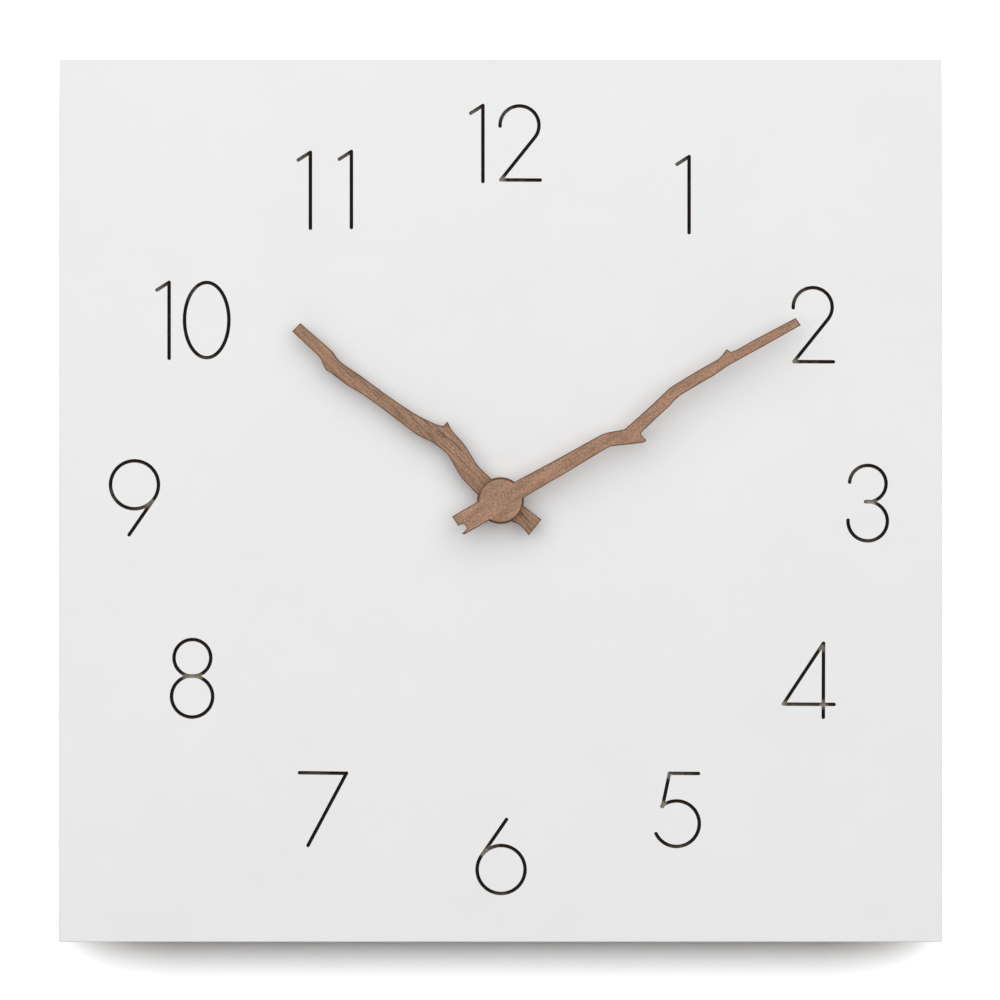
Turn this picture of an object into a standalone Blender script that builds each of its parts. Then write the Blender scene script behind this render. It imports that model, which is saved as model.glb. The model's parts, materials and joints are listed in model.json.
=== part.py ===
"""Wooden wall clock, modelled as it comes apart on a bench.

A square painted board is clamped by a nut to the threaded bushing of a quartz movement, and two hands cut
from thin wood turn in front of it. The movement's moulded case holds the battery, the circuit, the stepping
motor and the wheels, and a bent steel plate between case and board hangs the clock on a wall screw.

Everything is drawn lying on its back: x to the right, y up the dial, z out from the wall towards the viewer.
The empty called clock then stands it up, so the wall is the plane y = 0 of the world and the dial faces -Y.
All lengths are in metres.
"""

import math

import bmesh
import bpy
from mathutils import Matrix

# Fits between pieces
SEAT = 0.0001
PRESS = 0.00005
RUN = 0.00015
TOUCH = 0.0003
OVERRUN = 0.001

# Roundness
SIDES = 24
SMALL_SIDES = 12
BOSS_SIDES = 40
CORNER_STEPS = 4
SPAN_STEPS = 2
SHARP_ANGLE = math.radians(35)

# Dial board
BOARD_SIDE = 0.300
BOARD_THICK = 0.009
BOARD_ARRIS = 0.0004
BOARD_HOLE_PLAY = 0.0004

# Battery, an AA cell lying across the bottom of the case
BATTERY_RADIUS = 0.00725
BATTERY_LENGTH = 0.0505
BATTERY_NUB_RADIUS = 0.00275
BATTERY_NUB = 0.0010
BATTERY_BASE = 0.0003
BATTERY_BASE_SHARE = 0.86
BATTERY_REAR_PLAY = 0.0002

# Moulded front case
CASE_WALL = 0.0012
CASE_FRONT = 0.0010
CASE_CORNER = 0.0030
CONTACT_ROOM = 0.00155
PARTITION = 0.0012
PARTITION_NOTCH = 0.0009
WHEEL_ROOM = 0.0012
COIL_ROOM = 0.0016
THUMB_NOTCH_WIDTH = 0.018
THUMB_NOTCH_DEPTH = 0.0055

# Gear teeth
TRAIN_MODULE = 0.0003
MOTION_MODULE = 0.0004
ADDENDUM_SHARE = 0.80
DEDENDUM_SHARE = 1.10
TOOTH_ROOT_SHARE = 0.64
TOOTH_TIP_SHARE = 0.18
CENTRE_TEETH = 64
THIRD_TEETH = 60
SECONDS_TEETH = 48
TRANSFER_TEETH = 40
TRAIN_PINION_TEETH = 8
CANNON_TEETH = 10
MOTION_TEETH = 30
MOTION_PINION_TEETH = 8
HOUR_TEETH = 32
SETTING_TEETH = 12

# Wheel thicknesses and the gaps between their levels
HOUR_WHEEL_THICK = 0.0012
MOTION_WHEEL_THICK = 0.0010
MOTION_PINION_THICK = 0.0014
CANNON_THICK = 0.0014
CENTRE_WHEEL_THICK = 0.0010
TRAIN_WHEEL_THICK = 0.0008
TRAIN_PINION_THICK = 0.0012
ROTOR_PINION_THICK = 0.0016
HOUR_WHEEL_GAP = 0.0005
MOTION_GAP = 0.0006
CLUTCH_GAP = 0.0006
PLATE_GAP = 0.0004
SECONDS_GAP = 0.0010
TRANSFER_GAP = 0.0005
WHEEL_HOLES = 3
WHEEL_HOLE_SHARE = 0.20
WHEEL_HOLE_PLACE_SHARE = 0.60

# Arbors
PIVOT_RADIUS = 0.00035
HUB_RADIUS = 0.0007
SECONDS_RADIUS = 0.0004
MINUTE_RADIUS = 0.0015
MINUTE_BORE = 0.00055
HOUR_TUBE_RADIUS = 0.00255
HOUR_TUBE_BORE = 0.00165
MOTION_POST_RADIUS = 0.0007
STEM_RADIUS = 0.00125
STEM_PIVOT_RADIUS = 0.0008
PIVOT_DEPTH = 0.0016
TRANSFER_ANGLE = math.radians(70)
ROTOR_ANGLE = math.radians(45)
SETTING_ANGLE = math.radians(-13)

# Clutch spring between the centre wheel and the minute arbor
SPRING_RADIUS = 0.0033
SPRING_THICK = 0.00025
SPRING_EDGE = 0.00008

# Middle plate
MIDDLE_THICK = 0.0006
MIDDLE_CORNER = 0.0025
MIDDLE_MARGIN = 0.0028
MIDDLE_POST_RADIUS = 0.0013
MIDDLE_PIN_RADIUS = 0.0006
MIDDLE_POST_RISE = 0.0125
MIDDLE_POST_DROP = 0.0086
MIDDLE_POST_REACH = 0.0132
MIDDLE_POST_RIGHT = 0.0195
MIDDLE_TOP_GAP = 0.0008

# Stepping motor
MAGNET_RADIUS = 0.0025
MAGNET_LENGTH = 0.0017
MAGNET_GAP = 0.0004
ROTOR_HUB_RADIUS = 0.0010
ROTOR_FLANGE_RADIUS = 0.0016
ROTOR_FLANGE = 0.0004
STATOR_THICK = 0.0008
STATOR_BAR = 0.0070
STATOR_ARM = 0.0045
STATOR_INNER = 0.0085
STATOR_REACH = 0.0086
STATOR_END = 0.0020
CORE_THICK = 0.0010
CORE_HEIGHT = 0.0040
BOBBIN_RADIUS = 0.0036
BOBBIN_BARREL = 0.0025
BOBBIN_FLANGE = 0.0008
WINDING_RADIUS = 0.0033
MOTOR_POST_RADIUS = 0.0016
MOTOR_PIN_RADIUS = 0.0008

# Circuit board and what is on it
CIRCUIT_BACK = 0.0060
CIRCUIT_THICK = 0.0010
CIRCUIT_HEIGHT = 0.0110
CIRCUIT_TOP_GAP = 0.0038
CIRCUIT_SIDE_GAP = 0.0020
CIRCUIT_POST_RADIUS = 0.0012
CIRCUIT_PIN_RADIUS = 0.0005
CIRCUIT_POST_INSET = 0.0020
CRYSTAL_RADIUS = 0.0010
CRYSTAL_LENGTH = 0.0060
CRYSTAL_COLLAR = 0.00015
CHIP_RADIUS = 0.0026
CHIP_HEIGHT = 0.0010
CHIP_PLACE_SHARES = (0.31, 0.36)
CRYSTAL_PLACE_SHARES = (0.57, 0.80)

# Battery contacts, bent from strip
STRIP = 0.0003
STRIP_WIDTH = 0.0030
STRIP_END = 0.0018
STRIP_FLAT = 0.0012
STRIP_SLOPE = 0.0046
STRIP_OVERLAP = 0.0015

# Rear cover
COVER_THICK = 0.0012
COVER_CORNER = 0.0022
COVER_BOSS_RADIUS = 0.0013
COVER_BOSS_GAP = 0.0013
CORNER_POST_RADIUS = 0.0015
CORNER_POST_INSET = 0.0019
LEG_WIDTH = 0.0050
LEG_THICK = 0.0009
LEG_LENGTH = 0.0038
LEG_PLACE = 0.0190
BARB_LENGTH = 0.0012
BARB_REACH = 0.0008

# Setting knob in its well
KNOB_RADIUS = 0.0065
KNOB_THICK = 0.0024
KNOB_SINK = 0.0002
KNOB_SCALLOPS = 18
KNOB_SCALLOP_DEPTH = 0.0005
KNOB_GRIP = 0.0018
WELL_PLAY = 0.0005
WELL_WALL = 0.0008
WELL_FLOOR = 0.0010

# Threaded bushing and what is clamped on it
BUSHING_RADIUS = 0.0040
BUSHING_BORE = 0.00275
BUSHING_COLLAR = 0.0052
BUSHING_END = 0.0008
BUSHING_CHAMFER = 0.0003
GASKET_RADIUS = 0.0120
GASKET_THICK = 0.0010
WASHER_RADIUS = 0.0070
WASHER_THICK = 0.0005
NUT_FLATS = 0.0120
NUT_THICK = 0.0020
THREAD_PLAY = 0.0001
WASHER_PLAY = 0.0002

# Hanger plate, bent from sheet steel
HANGER_SHEET = 0.0008
HANGER_WIDTH = 0.0220
HANGER_FOOT = 0.0090
HANGER_TAB_HEIGHT = 0.0177
HANGER_TAB_BACK = 0.0016
HANGER_TAB_WIDTH = 0.0180
HANGER_CORNER = 0.0040
KEYHOLE_RADIUS = 0.0045
KEYHOLE_SLOT = 0.0046
KEYHOLE_PLACE = 0.0062
KEYHOLE_RISE = 0.0066

# Hands
HAND_THICK = 0.0018
BUSH_RADIUS = 0.0060
BUSH_FLANGE = 0.0004
BUSH_WALL = 0.0006
BUSH_GLUE = 0.00015
HOUR_HAND_GAP = 0.0003
MINUTE_HAND_GAP = 0.0009
MINUTE_ARBOR_GRIP = 0.0014
MINUTE_CAP = 0.0003
HOUR_BOSS = 0.0079
HOUR_REACH = 0.0908
HOUR_TAIL = 0.0149
HOUR_BREADTH = 0.0068
HOUR_ANGLE = math.radians(139.7)
MINUTE_BOSS = 0.0075
MINUTE_REACH = 0.1175
MINUTE_TAIL = 0.01685
MINUTE_BREADTH = 0.0060
MINUTE_ANGLE = math.radians(31.0)

# Outlines of the two twigs, each a list of smooth runs that meet at corners. A point is a share of the
# reach along the hand (of the tail, where it is negative) and a share of the breadth across it, which is
# positive on the counter-clockwise side.
MINUTE_OUTLINE_SHARES = (
    ((-1.00, 0.63), (-0.41, 0.60), (0.06, 0.49), (0.10, 0.48), (0.217, 0.34), (0.33, 0.27),
     (0.355, 0.22), (0.38, 0.07), (0.408, -0.14), (0.425, -0.11), (0.464, 0.03), (0.519, 0.24),
     (0.575, 0.49), (0.60, 0.54), (0.697, 0.54), (0.745, 0.51), (0.768, 0.63), (0.782, 0.75)),
    ((0.782, 0.75), (0.787, 0.50)),
    ((0.787, 0.50), (0.807, 0.42), (0.86, 0.40), (0.998, 0.25)),
    ((0.998, 0.25), (1.0, -0.25)),
    ((1.0, -0.25), (0.877, -0.18), (0.761, -0.10), (0.71, -0.16), (0.60, -0.14), (0.559, -0.33),
     (0.496, -0.59), (0.454, -0.78), (0.445, -0.83)),
    ((0.445, -0.83), (0.445, -1.06), (0.449, -1.31), (0.44, -1.36), (0.43, -1.29), (0.385, -0.88),
     (0.358, -0.64), (0.335, -0.56), (0.193, -0.57), (0.075, -0.54), (-0.395, -0.63), (-0.978, -0.59)),
    ((-0.978, -0.59), (-1.0, -0.47)),
    ((-1.0, -0.47), (-0.89, -0.42), (-0.861, -0.30), (-0.865, -0.14), (-0.92, -0.02), (-0.986, -0.01)),
    ((-0.986, -0.01), (-1.00, 0.63)),
)
HOUR_OUTLINE_SHARES = (
    ((-1.0, 0.42), (-0.861, 0.34), (-0.722, 0.31), (-0.567, 0.38), (-0.453, 0.45), (0.089, 0.51),
     (0.139, 0.46), (0.185, 0.32), (0.232, 0.08), (0.259, -0.03), (0.287, -0.06), (0.331, -0.02),
     (0.357, 0.07), (0.399, 0.20), (0.466, 0.25), (0.561, 0.32), (0.654, 0.42), (0.718, 0.57),
     (0.783, 0.61), (0.811, 0.67)),
    ((0.811, 0.67), (0.823, 0.60), (0.849, 0.44), (0.866, 0.38), (0.902, 0.35), (1.0, 0.29)),
    ((1.0, 0.29), (0.997, -0.29)),
    ((0.997, -0.29), (0.892, -0.27), (0.838, -0.25), (0.816, -0.17), (0.793, -0.12), (0.763, -0.14),
     (0.696, -0.24), (0.601, -0.32), (0.509, -0.44), (0.444, -0.56), (0.40, -0.70), (0.363, -0.84),
     (0.342, -1.00)),
    ((0.342, -1.00), (0.342, -1.29)),
    ((0.342, -1.29), (0.327, -1.21), (0.307, -1.10), (0.249, -0.99), (0.22, -0.90), (0.187, -0.75),
     (0.155, -0.62), (0.122, -0.54), (0.079, -0.53), (-0.456, -0.54), (-0.989, -0.59)),
    ((-0.989, -0.59), (-1.0, 0.42)),
)

# Levels out from the wall, worked out from the sizes above. The battery sets the depth of the case.
CASE_DEPTH = 2 * BATTERY_RADIUS + BATTERY_REAR_PLAY + TOUCH + CASE_FRONT
FLOOR = CASE_DEPTH - CASE_FRONT
HOUR_WHEEL_FRONT = FLOOR - HOUR_WHEEL_GAP
HOUR_WHEEL_BACK = HOUR_WHEEL_FRONT - HOUR_WHEEL_THICK
MOTION_FRONT = HOUR_WHEEL_BACK - MOTION_GAP
MOTION_BACK = MOTION_FRONT - MOTION_WHEEL_THICK
CANNON_BACK = (MOTION_FRONT + MOTION_BACK - CANNON_THICK) / 2
CANNON_FRONT = CANNON_BACK + CANNON_THICK
CENTRE_FRONT = CANNON_BACK - CLUTCH_GAP
CENTRE_BACK = CENTRE_FRONT - CENTRE_WHEEL_THICK
THIRD_PINION_BACK = (CENTRE_FRONT + CENTRE_BACK - MOTION_PINION_THICK) / 2
THIRD_PINION_FRONT = THIRD_PINION_BACK + MOTION_PINION_THICK
MIDDLE_FRONT = CENTRE_BACK - PLATE_GAP
MIDDLE_BACK = MIDDLE_FRONT - MIDDLE_THICK
THIRD_FRONT = MIDDLE_BACK - PLATE_GAP
THIRD_BACK = THIRD_FRONT - TRAIN_WHEEL_THICK
SECONDS_PINION_BACK = (THIRD_FRONT + THIRD_BACK - TRAIN_PINION_THICK) / 2
SECONDS_PINION_FRONT = SECONDS_PINION_BACK + TRAIN_PINION_THICK
SECONDS_FRONT = THIRD_BACK - SECONDS_GAP
SECONDS_BACK = SECONDS_FRONT - TRAIN_WHEEL_THICK
TRANSFER_PINION_BACK = (SECONDS_FRONT + SECONDS_BACK - TRAIN_PINION_THICK) / 2
TRANSFER_PINION_FRONT = TRANSFER_PINION_BACK + TRAIN_PINION_THICK
TRANSFER_FRONT = TRANSFER_PINION_BACK - TRANSFER_GAP
TRANSFER_BACK = TRANSFER_FRONT - TRAIN_WHEEL_THICK
ROTOR_PINION_BACK = (TRANSFER_FRONT + TRANSFER_BACK - ROTOR_PINION_THICK) / 2
ROTOR_PINION_FRONT = ROTOR_PINION_BACK + ROTOR_PINION_THICK
STATOR_FRONT = MIDDLE_BACK - TOUCH
STATOR_BACK = STATOR_FRONT - STATOR_THICK
CORE_BACK = STATOR_FRONT + SEAT
CORE_FRONT = CORE_BACK + CORE_THICK
COVER_BOSS_TOP = TRANSFER_BACK - COVER_BOSS_GAP
PIVOT_BACK = COVER_THICK + SEAT
HANGER_BACK = CASE_DEPTH + SEAT
HANGER_FRONT = HANGER_BACK + HANGER_SHEET
GASKET_BACK = HANGER_FRONT + SEAT
BOARD_BACK = GASKET_BACK + GASKET_THICK + SEAT
BOARD_FRONT = BOARD_BACK + BOARD_THICK
WASHER_BACK = BOARD_FRONT + SEAT
NUT_BACK = WASHER_BACK + WASHER_THICK + SEAT
BUSHING_FRONT = NUT_BACK + NUT_THICK + BUSHING_END
HOUR_BUSH_BACK = BUSHING_FRONT + HOUR_HAND_GAP
HOUR_HAND_BACK = HOUR_BUSH_BACK + BUSH_FLANGE + SEAT
HOUR_HAND_FRONT = HOUR_HAND_BACK + HAND_THICK
MINUTE_BUSH_BACK = HOUR_HAND_FRONT + MINUTE_HAND_GAP
MINUTE_HAND_BACK = MINUTE_BUSH_BACK + BUSH_FLANGE + SEAT
MINUTE_HAND_FRONT = MINUTE_HAND_BACK + HAND_THICK
MINUTE_ARBOR_FRONT = MINUTE_BUSH_BACK + MINUTE_ARBOR_GRIP
MINUTE_CAP_FRONT = MINUTE_ARBOR_FRONT + SEAT + MINUTE_CAP
MINUTE_ARBOR_BACK = MIDDLE_FRONT + SEAT + SEAT
SECONDS_ARBOR_FRONT = HOUR_HAND_FRONT - BUSH_FLANGE
POSITIVE_BACK = CIRCUIT_BACK + CIRCUIT_THICK + SEAT
NEGATIVE_BACK = CIRCUIT_BACK - SEAT - STRIP_WIDTH
BATTERY_LEVEL = FLOOR - TOUCH - BATTERY_RADIUS

# Places of the arbors on the dial plane, from the numbers of teeth
CENTRE = (0.0, 0.0)
THIRD_DISTANCE = TRAIN_MODULE * (THIRD_TEETH + TRAIN_PINION_TEETH) / 2
CENTRE_MODULE = 2 * THIRD_DISTANCE / (CENTRE_TEETH + TRAIN_PINION_TEETH)
MOTION_DISTANCE = MOTION_MODULE * (CANNON_TEETH + MOTION_TEETH) / 2
SETTING_DISTANCE = MOTION_MODULE * (SETTING_TEETH + MOTION_TEETH) / 2
TRANSFER_DISTANCE = TRAIN_MODULE * (SECONDS_TEETH + TRAIN_PINION_TEETH) / 2
ROTOR_DISTANCE = TRAIN_MODULE * (TRANSFER_TEETH + TRAIN_PINION_TEETH) / 2


def offset(start, distance, angle):
    """The point that lies so far from start in this direction."""
    return (start[0] + distance * math.cos(angle), start[1] + distance * math.sin(angle))


THIRD = offset(CENTRE, THIRD_DISTANCE, math.pi)
MOTION = offset(CENTRE, MOTION_DISTANCE, 0.0)
SETTING = offset(MOTION, SETTING_DISTANCE, SETTING_ANGLE)
TRANSFER = offset(CENTRE, TRANSFER_DISTANCE, TRANSFER_ANGLE)
ROTOR = offset(TRANSFER, ROTOR_DISTANCE, ROTOR_ANGLE)

# Outline of the case round the battery below and the wheels and coil above
INNER_HALF = BATTERY_LENGTH / 2 + CONTACT_ROOM
CASE_HALF = INNER_HALF + CASE_WALL
CENTRE_TIP = CENTRE_MODULE * (CENTRE_TEETH / 2 + ADDENDUM_SHARE)
PARTITION_TOP = -CENTRE_TIP - WHEEL_ROOM
PARTITION_BOTTOM = PARTITION_TOP - PARTITION
BAY_BOTTOM = PARTITION_BOTTOM - 2 * (BATTERY_RADIUS + TOUCH)
BATTERY_HEIGHT = (PARTITION_BOTTOM + BAY_BOTTOM) / 2
CASE_BOTTOM = BAY_BOTTOM - CASE_WALL
COIL_HEIGHT = ROTOR[1] + STATOR_REACH
ROOM_TOP = COIL_HEIGHT + BOBBIN_RADIUS + COIL_ROOM
CASE_TOP = ROOM_TOP + CASE_WALL
COVER_LEFT = -INNER_HALF + TOUCH
COVER_TOP = ROOM_TOP - TOUCH
COVER_BOTTOM = PARTITION_BOTTOM + TOUCH
MIDDLE_LEFT = -MIDDLE_POST_REACH - MIDDLE_MARGIN
MIDDLE_RIGHT = MIDDLE_POST_RIGHT + MIDDLE_MARGIN
MIDDLE_TOP = COIL_HEIGHT - BOBBIN_RADIUS - MIDDLE_TOP_GAP
MIDDLE_BOTTOM = -MIDDLE_POST_DROP - MIDDLE_PIN_RADIUS - TOUCH
MIDDLE_POSTS = (
    (-MIDDLE_POST_REACH, MIDDLE_POST_RISE),
    (MIDDLE_POST_RIGHT, ROTOR[1] - STATOR_BAR / 2),
    (MIDDLE_POST_REACH, -MIDDLE_POST_DROP),
    (-MIDDLE_POST_REACH, -MIDDLE_POST_DROP),
)
MOTOR_POSTS = (
    (ROTOR[0] - STATOR_INNER - STATOR_ARM / 2, COIL_HEIGHT),
    (ROTOR[0] + STATOR_INNER + STATOR_ARM / 2, COIL_HEIGHT),
)
CIRCUIT_LEFT = -INNER_HALF + SEAT
CIRCUIT_RIGHT = ROTOR[0] - STATOR_INNER - STATOR_ARM - CIRCUIT_SIDE_GAP
CIRCUIT_TOP = ROOM_TOP - CIRCUIT_TOP_GAP
CIRCUIT_BOTTOM = CIRCUIT_TOP - CIRCUIT_HEIGHT
CIRCUIT_POSTS = (
    (CIRCUIT_LEFT + CIRCUIT_POST_INSET, CIRCUIT_TOP - CIRCUIT_POST_INSET),
    (CIRCUIT_RIGHT - CIRCUIT_POST_INSET, CIRCUIT_TOP - CIRCUIT_POST_INSET),
)
CORNER_POSTS = (
    (-INNER_HALF + CORNER_POST_INSET, ROOM_TOP - CORNER_POST_INSET),
    (INNER_HALF - CORNER_POST_INSET, ROOM_TOP - CORNER_POST_INSET),
)
BUSHING_HOLE = BUSHING_RADIUS + PRESS
MOTION_BORE = MOTION_POST_RADIUS + RUN
STRIP_SEAT = INNER_HALF - RUN - STRIP / 2
STRIP_BULGE = BATTERY_LENGTH / 2 + RUN + STRIP / 2


def rectangle(left, bottom, right, top):
    """The corners of a rectangle, counter-clockwise."""
    return [(left, bottom), (right, bottom), (right, top), (left, top)]


def rounded_rectangle(left, bottom, right, top, radius):
    """The outline of a rectangle with round corners, counter-clockwise."""
    centres = (
        (right - radius, top - radius),
        (left + radius, top - radius),
        (left + radius, bottom + radius),
        (right - radius, bottom + radius),
    )
    points = []
    for quarter, centre in enumerate(centres):
        for step in range(CORNER_STEPS + 1):
            angle = math.pi / 2 * (quarter + step / CORNER_STEPS)
            points.append(offset(centre, radius, angle))
    return points


def circle(radius, sides, centre=CENTRE):
    """The corners of a many-sided circle, the first one half a side up from the x axis."""
    step = 2 * math.pi / sides
    return [offset(centre, radius, step * (side + 0.5)) for side in range(sides)]


def gear_outline(teeth, module, phase):
    """A wheel's outline, with one tooth's middle at the angle phase."""
    pitch_radius = module * teeth / 2
    root_radius = pitch_radius - DEDENDUM_SHARE * module
    tip_radius = pitch_radius + ADDENDUM_SHARE * module
    pitch = 2 * math.pi / teeth
    flank = (
        (root_radius, -TOOTH_ROOT_SHARE / 2),
        (tip_radius, -TOOTH_TIP_SHARE / 2),
        (tip_radius, TOOTH_TIP_SHARE / 2),
        (root_radius, TOOTH_ROOT_SHARE / 2),
    )
    points = []
    for tooth in range(teeth):
        for radius, share in flank:
            points.append(offset(CENTRE, radius, phase + pitch * (tooth + share)))
    return points


def meshed_phase(driver_teeth, driver_phase, driver_place, teeth, place):
    """The phase that puts a gap of this wheel opposite a tooth of the driver."""
    direction = math.atan2(place[1] - driver_place[1], place[0] - driver_place[0])
    return direction + math.pi + (math.pi - driver_teeth * (driver_phase - direction)) / teeth


def smooth_run(points):
    """A Catmull-Rom curve through the points, without the last one."""
    curve = []
    for index in range(len(points) - 1):
        before = points[max(index - 1, 0)]
        start, end = points[index], points[index + 1]
        after = points[min(index + 2, len(points) - 1)]
        for step in range(SPAN_STEPS):
            t = step / SPAN_STEPS
            curve.append(tuple(
                (2 * b + (c - a) * t + (2 * a - 5 * b + 4 * c - d) * t**2 + (3 * b - a - 3 * c + d) * t**3) / 2
                for a, b, c, d in zip(before, start, end, after)
            ))
    return curve


def twig_outline(runs, reach, tail, breadth):
    """A hand's outline in real sizes. A run of two points is a straight edge."""
    shares = []
    for run in runs:
        shares += smooth_run(run) if len(run) > 2 else [run[0]]
    return [(along * (reach if along > 0 else tail), across * breadth) for along, across in shares]


def strip_outline(path, thickness):
    """The outline of a strip of even thickness along a path of straight stretches."""
    sides = ([], [])
    for index, point in enumerate(path):
        before = path[max(index - 1, 0)]
        after = path[min(index + 1, len(path) - 1)]
        ahead = math.atan2(after[1] - point[1], after[0] - point[0]) if after != point else None
        behind = math.atan2(point[1] - before[1], point[0] - before[0]) if before != point else ahead
        ahead = behind if ahead is None else ahead
        bend = math.remainder(ahead - behind, 2 * math.pi)
        across = behind + bend / 2 + math.pi / 2
        reach = thickness / 2 / math.cos(bend / 2)
        sides[0].append(offset(point, reach, across))
        sides[1].append(offset(point, -reach, across))
    return sides[1] + sides[0][::-1]


def prism(outline, low, high):
    """A solid with this outline between two levels."""
    shape = bmesh.new()
    base = shape.faces.new([shape.verts.new((x, y, low)) for x, y in outline])
    raised = bmesh.ops.extrude_face_region(shape, geom=[base])["geom"]
    corners = [item for item in raised if isinstance(item, bmesh.types.BMVert)]
    bmesh.ops.translate(shape, verts=corners, vec=(0, 0, high - low))
    bmesh.ops.recalc_face_normals(shape, faces=shape.faces)
    return shape


def rod(radius, low, high, centre=CENTRE, sides=SMALL_SIDES):
    """A round solid between two levels."""
    return prism(circle(radius, sides, centre), low, high)


def turned(profile, sides=SIDES):
    """A solid turned from (radius, level) points. A profile that leaves the axis alone makes a ring."""
    shape = bmesh.new()
    corners = [shape.verts.new((radius, 0, level)) for radius, level in profile]
    edges = [shape.edges.new(pair) for pair in zip(corners, corners[1:])]
    if profile[0][0] > 0:
        edges.append(shape.edges.new((corners[-1], corners[0])))
    bmesh.ops.spin(
        shape, geom=corners + edges, cent=(0, 0, 0), axis=(0, 0, 1), angle=2 * math.pi, steps=sides,
        use_merge=True,
    )
    bmesh.ops.remove_doubles(shape, verts=shape.verts, dist=PRESS / 100)
    half_side = Matrix.Rotation(math.pi / sides, 3, 'Z')
    bmesh.ops.rotate(shape, verts=shape.verts, cent=(0, 0, 0), matrix=half_side)
    bmesh.ops.recalc_face_normals(shape, faces=shape.faces)
    return shape


def on_side(shape, centre=(0.0, 0.0, 0.0)):
    """The shape laid over, so that its z becomes x, its x becomes y and its y becomes z."""
    laid = Matrix(((0, 0, 1, centre[0]), (1, 0, 0, centre[1]), (0, 1, 0, centre[2]), (0, 0, 0, 1)))
    bmesh.ops.transform(shape, matrix=laid, verts=shape.verts)
    return shape


def principled(name, colour, roughness, metallic=0.0):
    """A plain material of one colour."""
    finish = bpy.data.materials.new(name)
    finish.use_nodes = True
    shader = finish.node_tree.nodes["Principled BSDF"]
    shader.inputs["Base Color"].default_value = (*colour, 1.0)
    shader.inputs["Roughness"].default_value = roughness
    shader.inputs["Metallic"].default_value = metallic
    return finish


def add_object(name, shape):
    """A linked object that takes over the bmesh."""
    mesh = bpy.data.meshes.new(name)
    shape.to_mesh(mesh)
    shape.free()
    item = bpy.data.objects.new(name, mesh)
    bpy.context.collection.objects.link(item)
    return item


def combine(piece, shapes, operation):
    """Joins the shapes to the piece, or cuts them out of it, one after the other."""
    tools = []
    for shape in shapes:
        tool = add_object("tool", shape)
        tool.hide_render = True
        tool.display_type = 'WIRE'
        step = piece.modifiers.new("step", 'BOOLEAN')
        step.operation = operation
        step.object = tool
        tools.append(tool)
    evaluated = piece.evaluated_get(bpy.context.evaluated_depsgraph_get())
    mesh = bpy.data.meshes.new_from_object(evaluated)
    piece.modifiers.clear()
    piece.data = mesh
    for tool in tools:
        bpy.data.objects.remove(tool)


def fuse(piece, *shapes):
    combine(piece, shapes, 'UNION')


def carve(piece, *shapes):
    combine(piece, shapes, 'DIFFERENCE')


def finish_piece(piece, finish, place=CENTRE, turn=0.0):
    """Gives a piece its material and seats it on the clock, with its origin on its own axis."""
    piece.data.name = piece.name
    piece.data.materials.clear()
    piece.data.materials.append(finish)
    piece.data.shade_smooth()
    piece.data.set_sharp_from_angle(angle=SHARP_ANGLE)
    piece.location = (place[0], place[1], 0)
    piece.rotation_euler = (0, 0, turn)
    piece.parent = clock


def wheel(name, teeth, module, phase, low, high):
    """A wheel of the going train: a toothed disc with round holes that make it light."""
    piece = add_object(name, prism(gear_outline(teeth, module, phase), low, high))
    pitch_radius = module * teeth / 2
    holes = []
    for hole in range(WHEEL_HOLES):
        turn = 2 * math.pi * (hole + 0.5) / WHEEL_HOLES
        centre = offset(CENTRE, pitch_radius * WHEEL_HOLE_PLACE_SHARE, turn)
        radius = pitch_radius * WHEEL_HOLE_SHARE
        holes.append(rod(radius, low - OVERRUN, high + OVERRUN, centre))
    carve(piece, *holes)
    return piece


def pinion(teeth, module, low, high, phase=0.0):
    """A plain toothed solid."""
    return prism(gear_outline(teeth, module, phase), low, high)


def dial_board():
    """The square board, with its sharp edges just taken off and a hole for the bushing."""
    half = BOARD_SIDE / 2
    slab = prism(rectangle(-half, -half, half, half), BOARD_BACK, BOARD_FRONT)
    bmesh.ops.bevel(
        slab, geom=slab.edges, offset=BOARD_ARRIS, segments=1, profile=0.5, affect='EDGES', material=-1
    )
    piece = add_object("dial_board", slab)
    hole = BUSHING_RADIUS + BOARD_HOLE_PLAY
    carve(piece, rod(hole, BOARD_BACK - OVERRUN, BOARD_FRONT + OVERRUN, sides=SIDES))
    finish_piece(piece, PAINT)


def hand(name, runs, reach, tail, breadth, boss, low, high):
    """A twig cut from thin wood, with a round boss over the arbor."""
    piece = add_object(name, prism(twig_outline(runs, reach, tail, breadth), low, high))
    fuse(piece, rod(boss, low, high, sides=BOSS_SIDES))
    return piece


def hour_hand():
    """The hour hand, glued round its bush, which passes through it."""
    piece = hand(
        "hour_hand", HOUR_OUTLINE_SHARES, HOUR_REACH, HOUR_TAIL, HOUR_BREADTH, HOUR_BOSS,
        HOUR_HAND_BACK, HOUR_HAND_FRONT,
    )
    hole = HOUR_TUBE_RADIUS + PRESS + BUSH_WALL + BUSH_GLUE
    carve(piece, rod(hole, HOUR_HAND_BACK - OVERRUN, HOUR_HAND_FRONT + OVERRUN, sides=SIDES))
    finish_piece(piece, WOOD, turn=HOUR_ANGLE)


def hour_hand_bush():
    """The flanged brass bush that grips the end of the hour tube."""
    bore = HOUR_TUBE_RADIUS + PRESS
    barrel = bore + BUSH_WALL
    piece = add_object("hour_hand_bush", turned((
        (bore, HOUR_BUSH_BACK),
        (BUSH_RADIUS, HOUR_BUSH_BACK),
        (BUSH_RADIUS, HOUR_BUSH_BACK + BUSH_FLANGE),
        (barrel, HOUR_BUSH_BACK + BUSH_FLANGE),
        (barrel, HOUR_HAND_FRONT),
        (bore, HOUR_HAND_FRONT),
    )))
    finish_piece(piece, BRASS)


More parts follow.
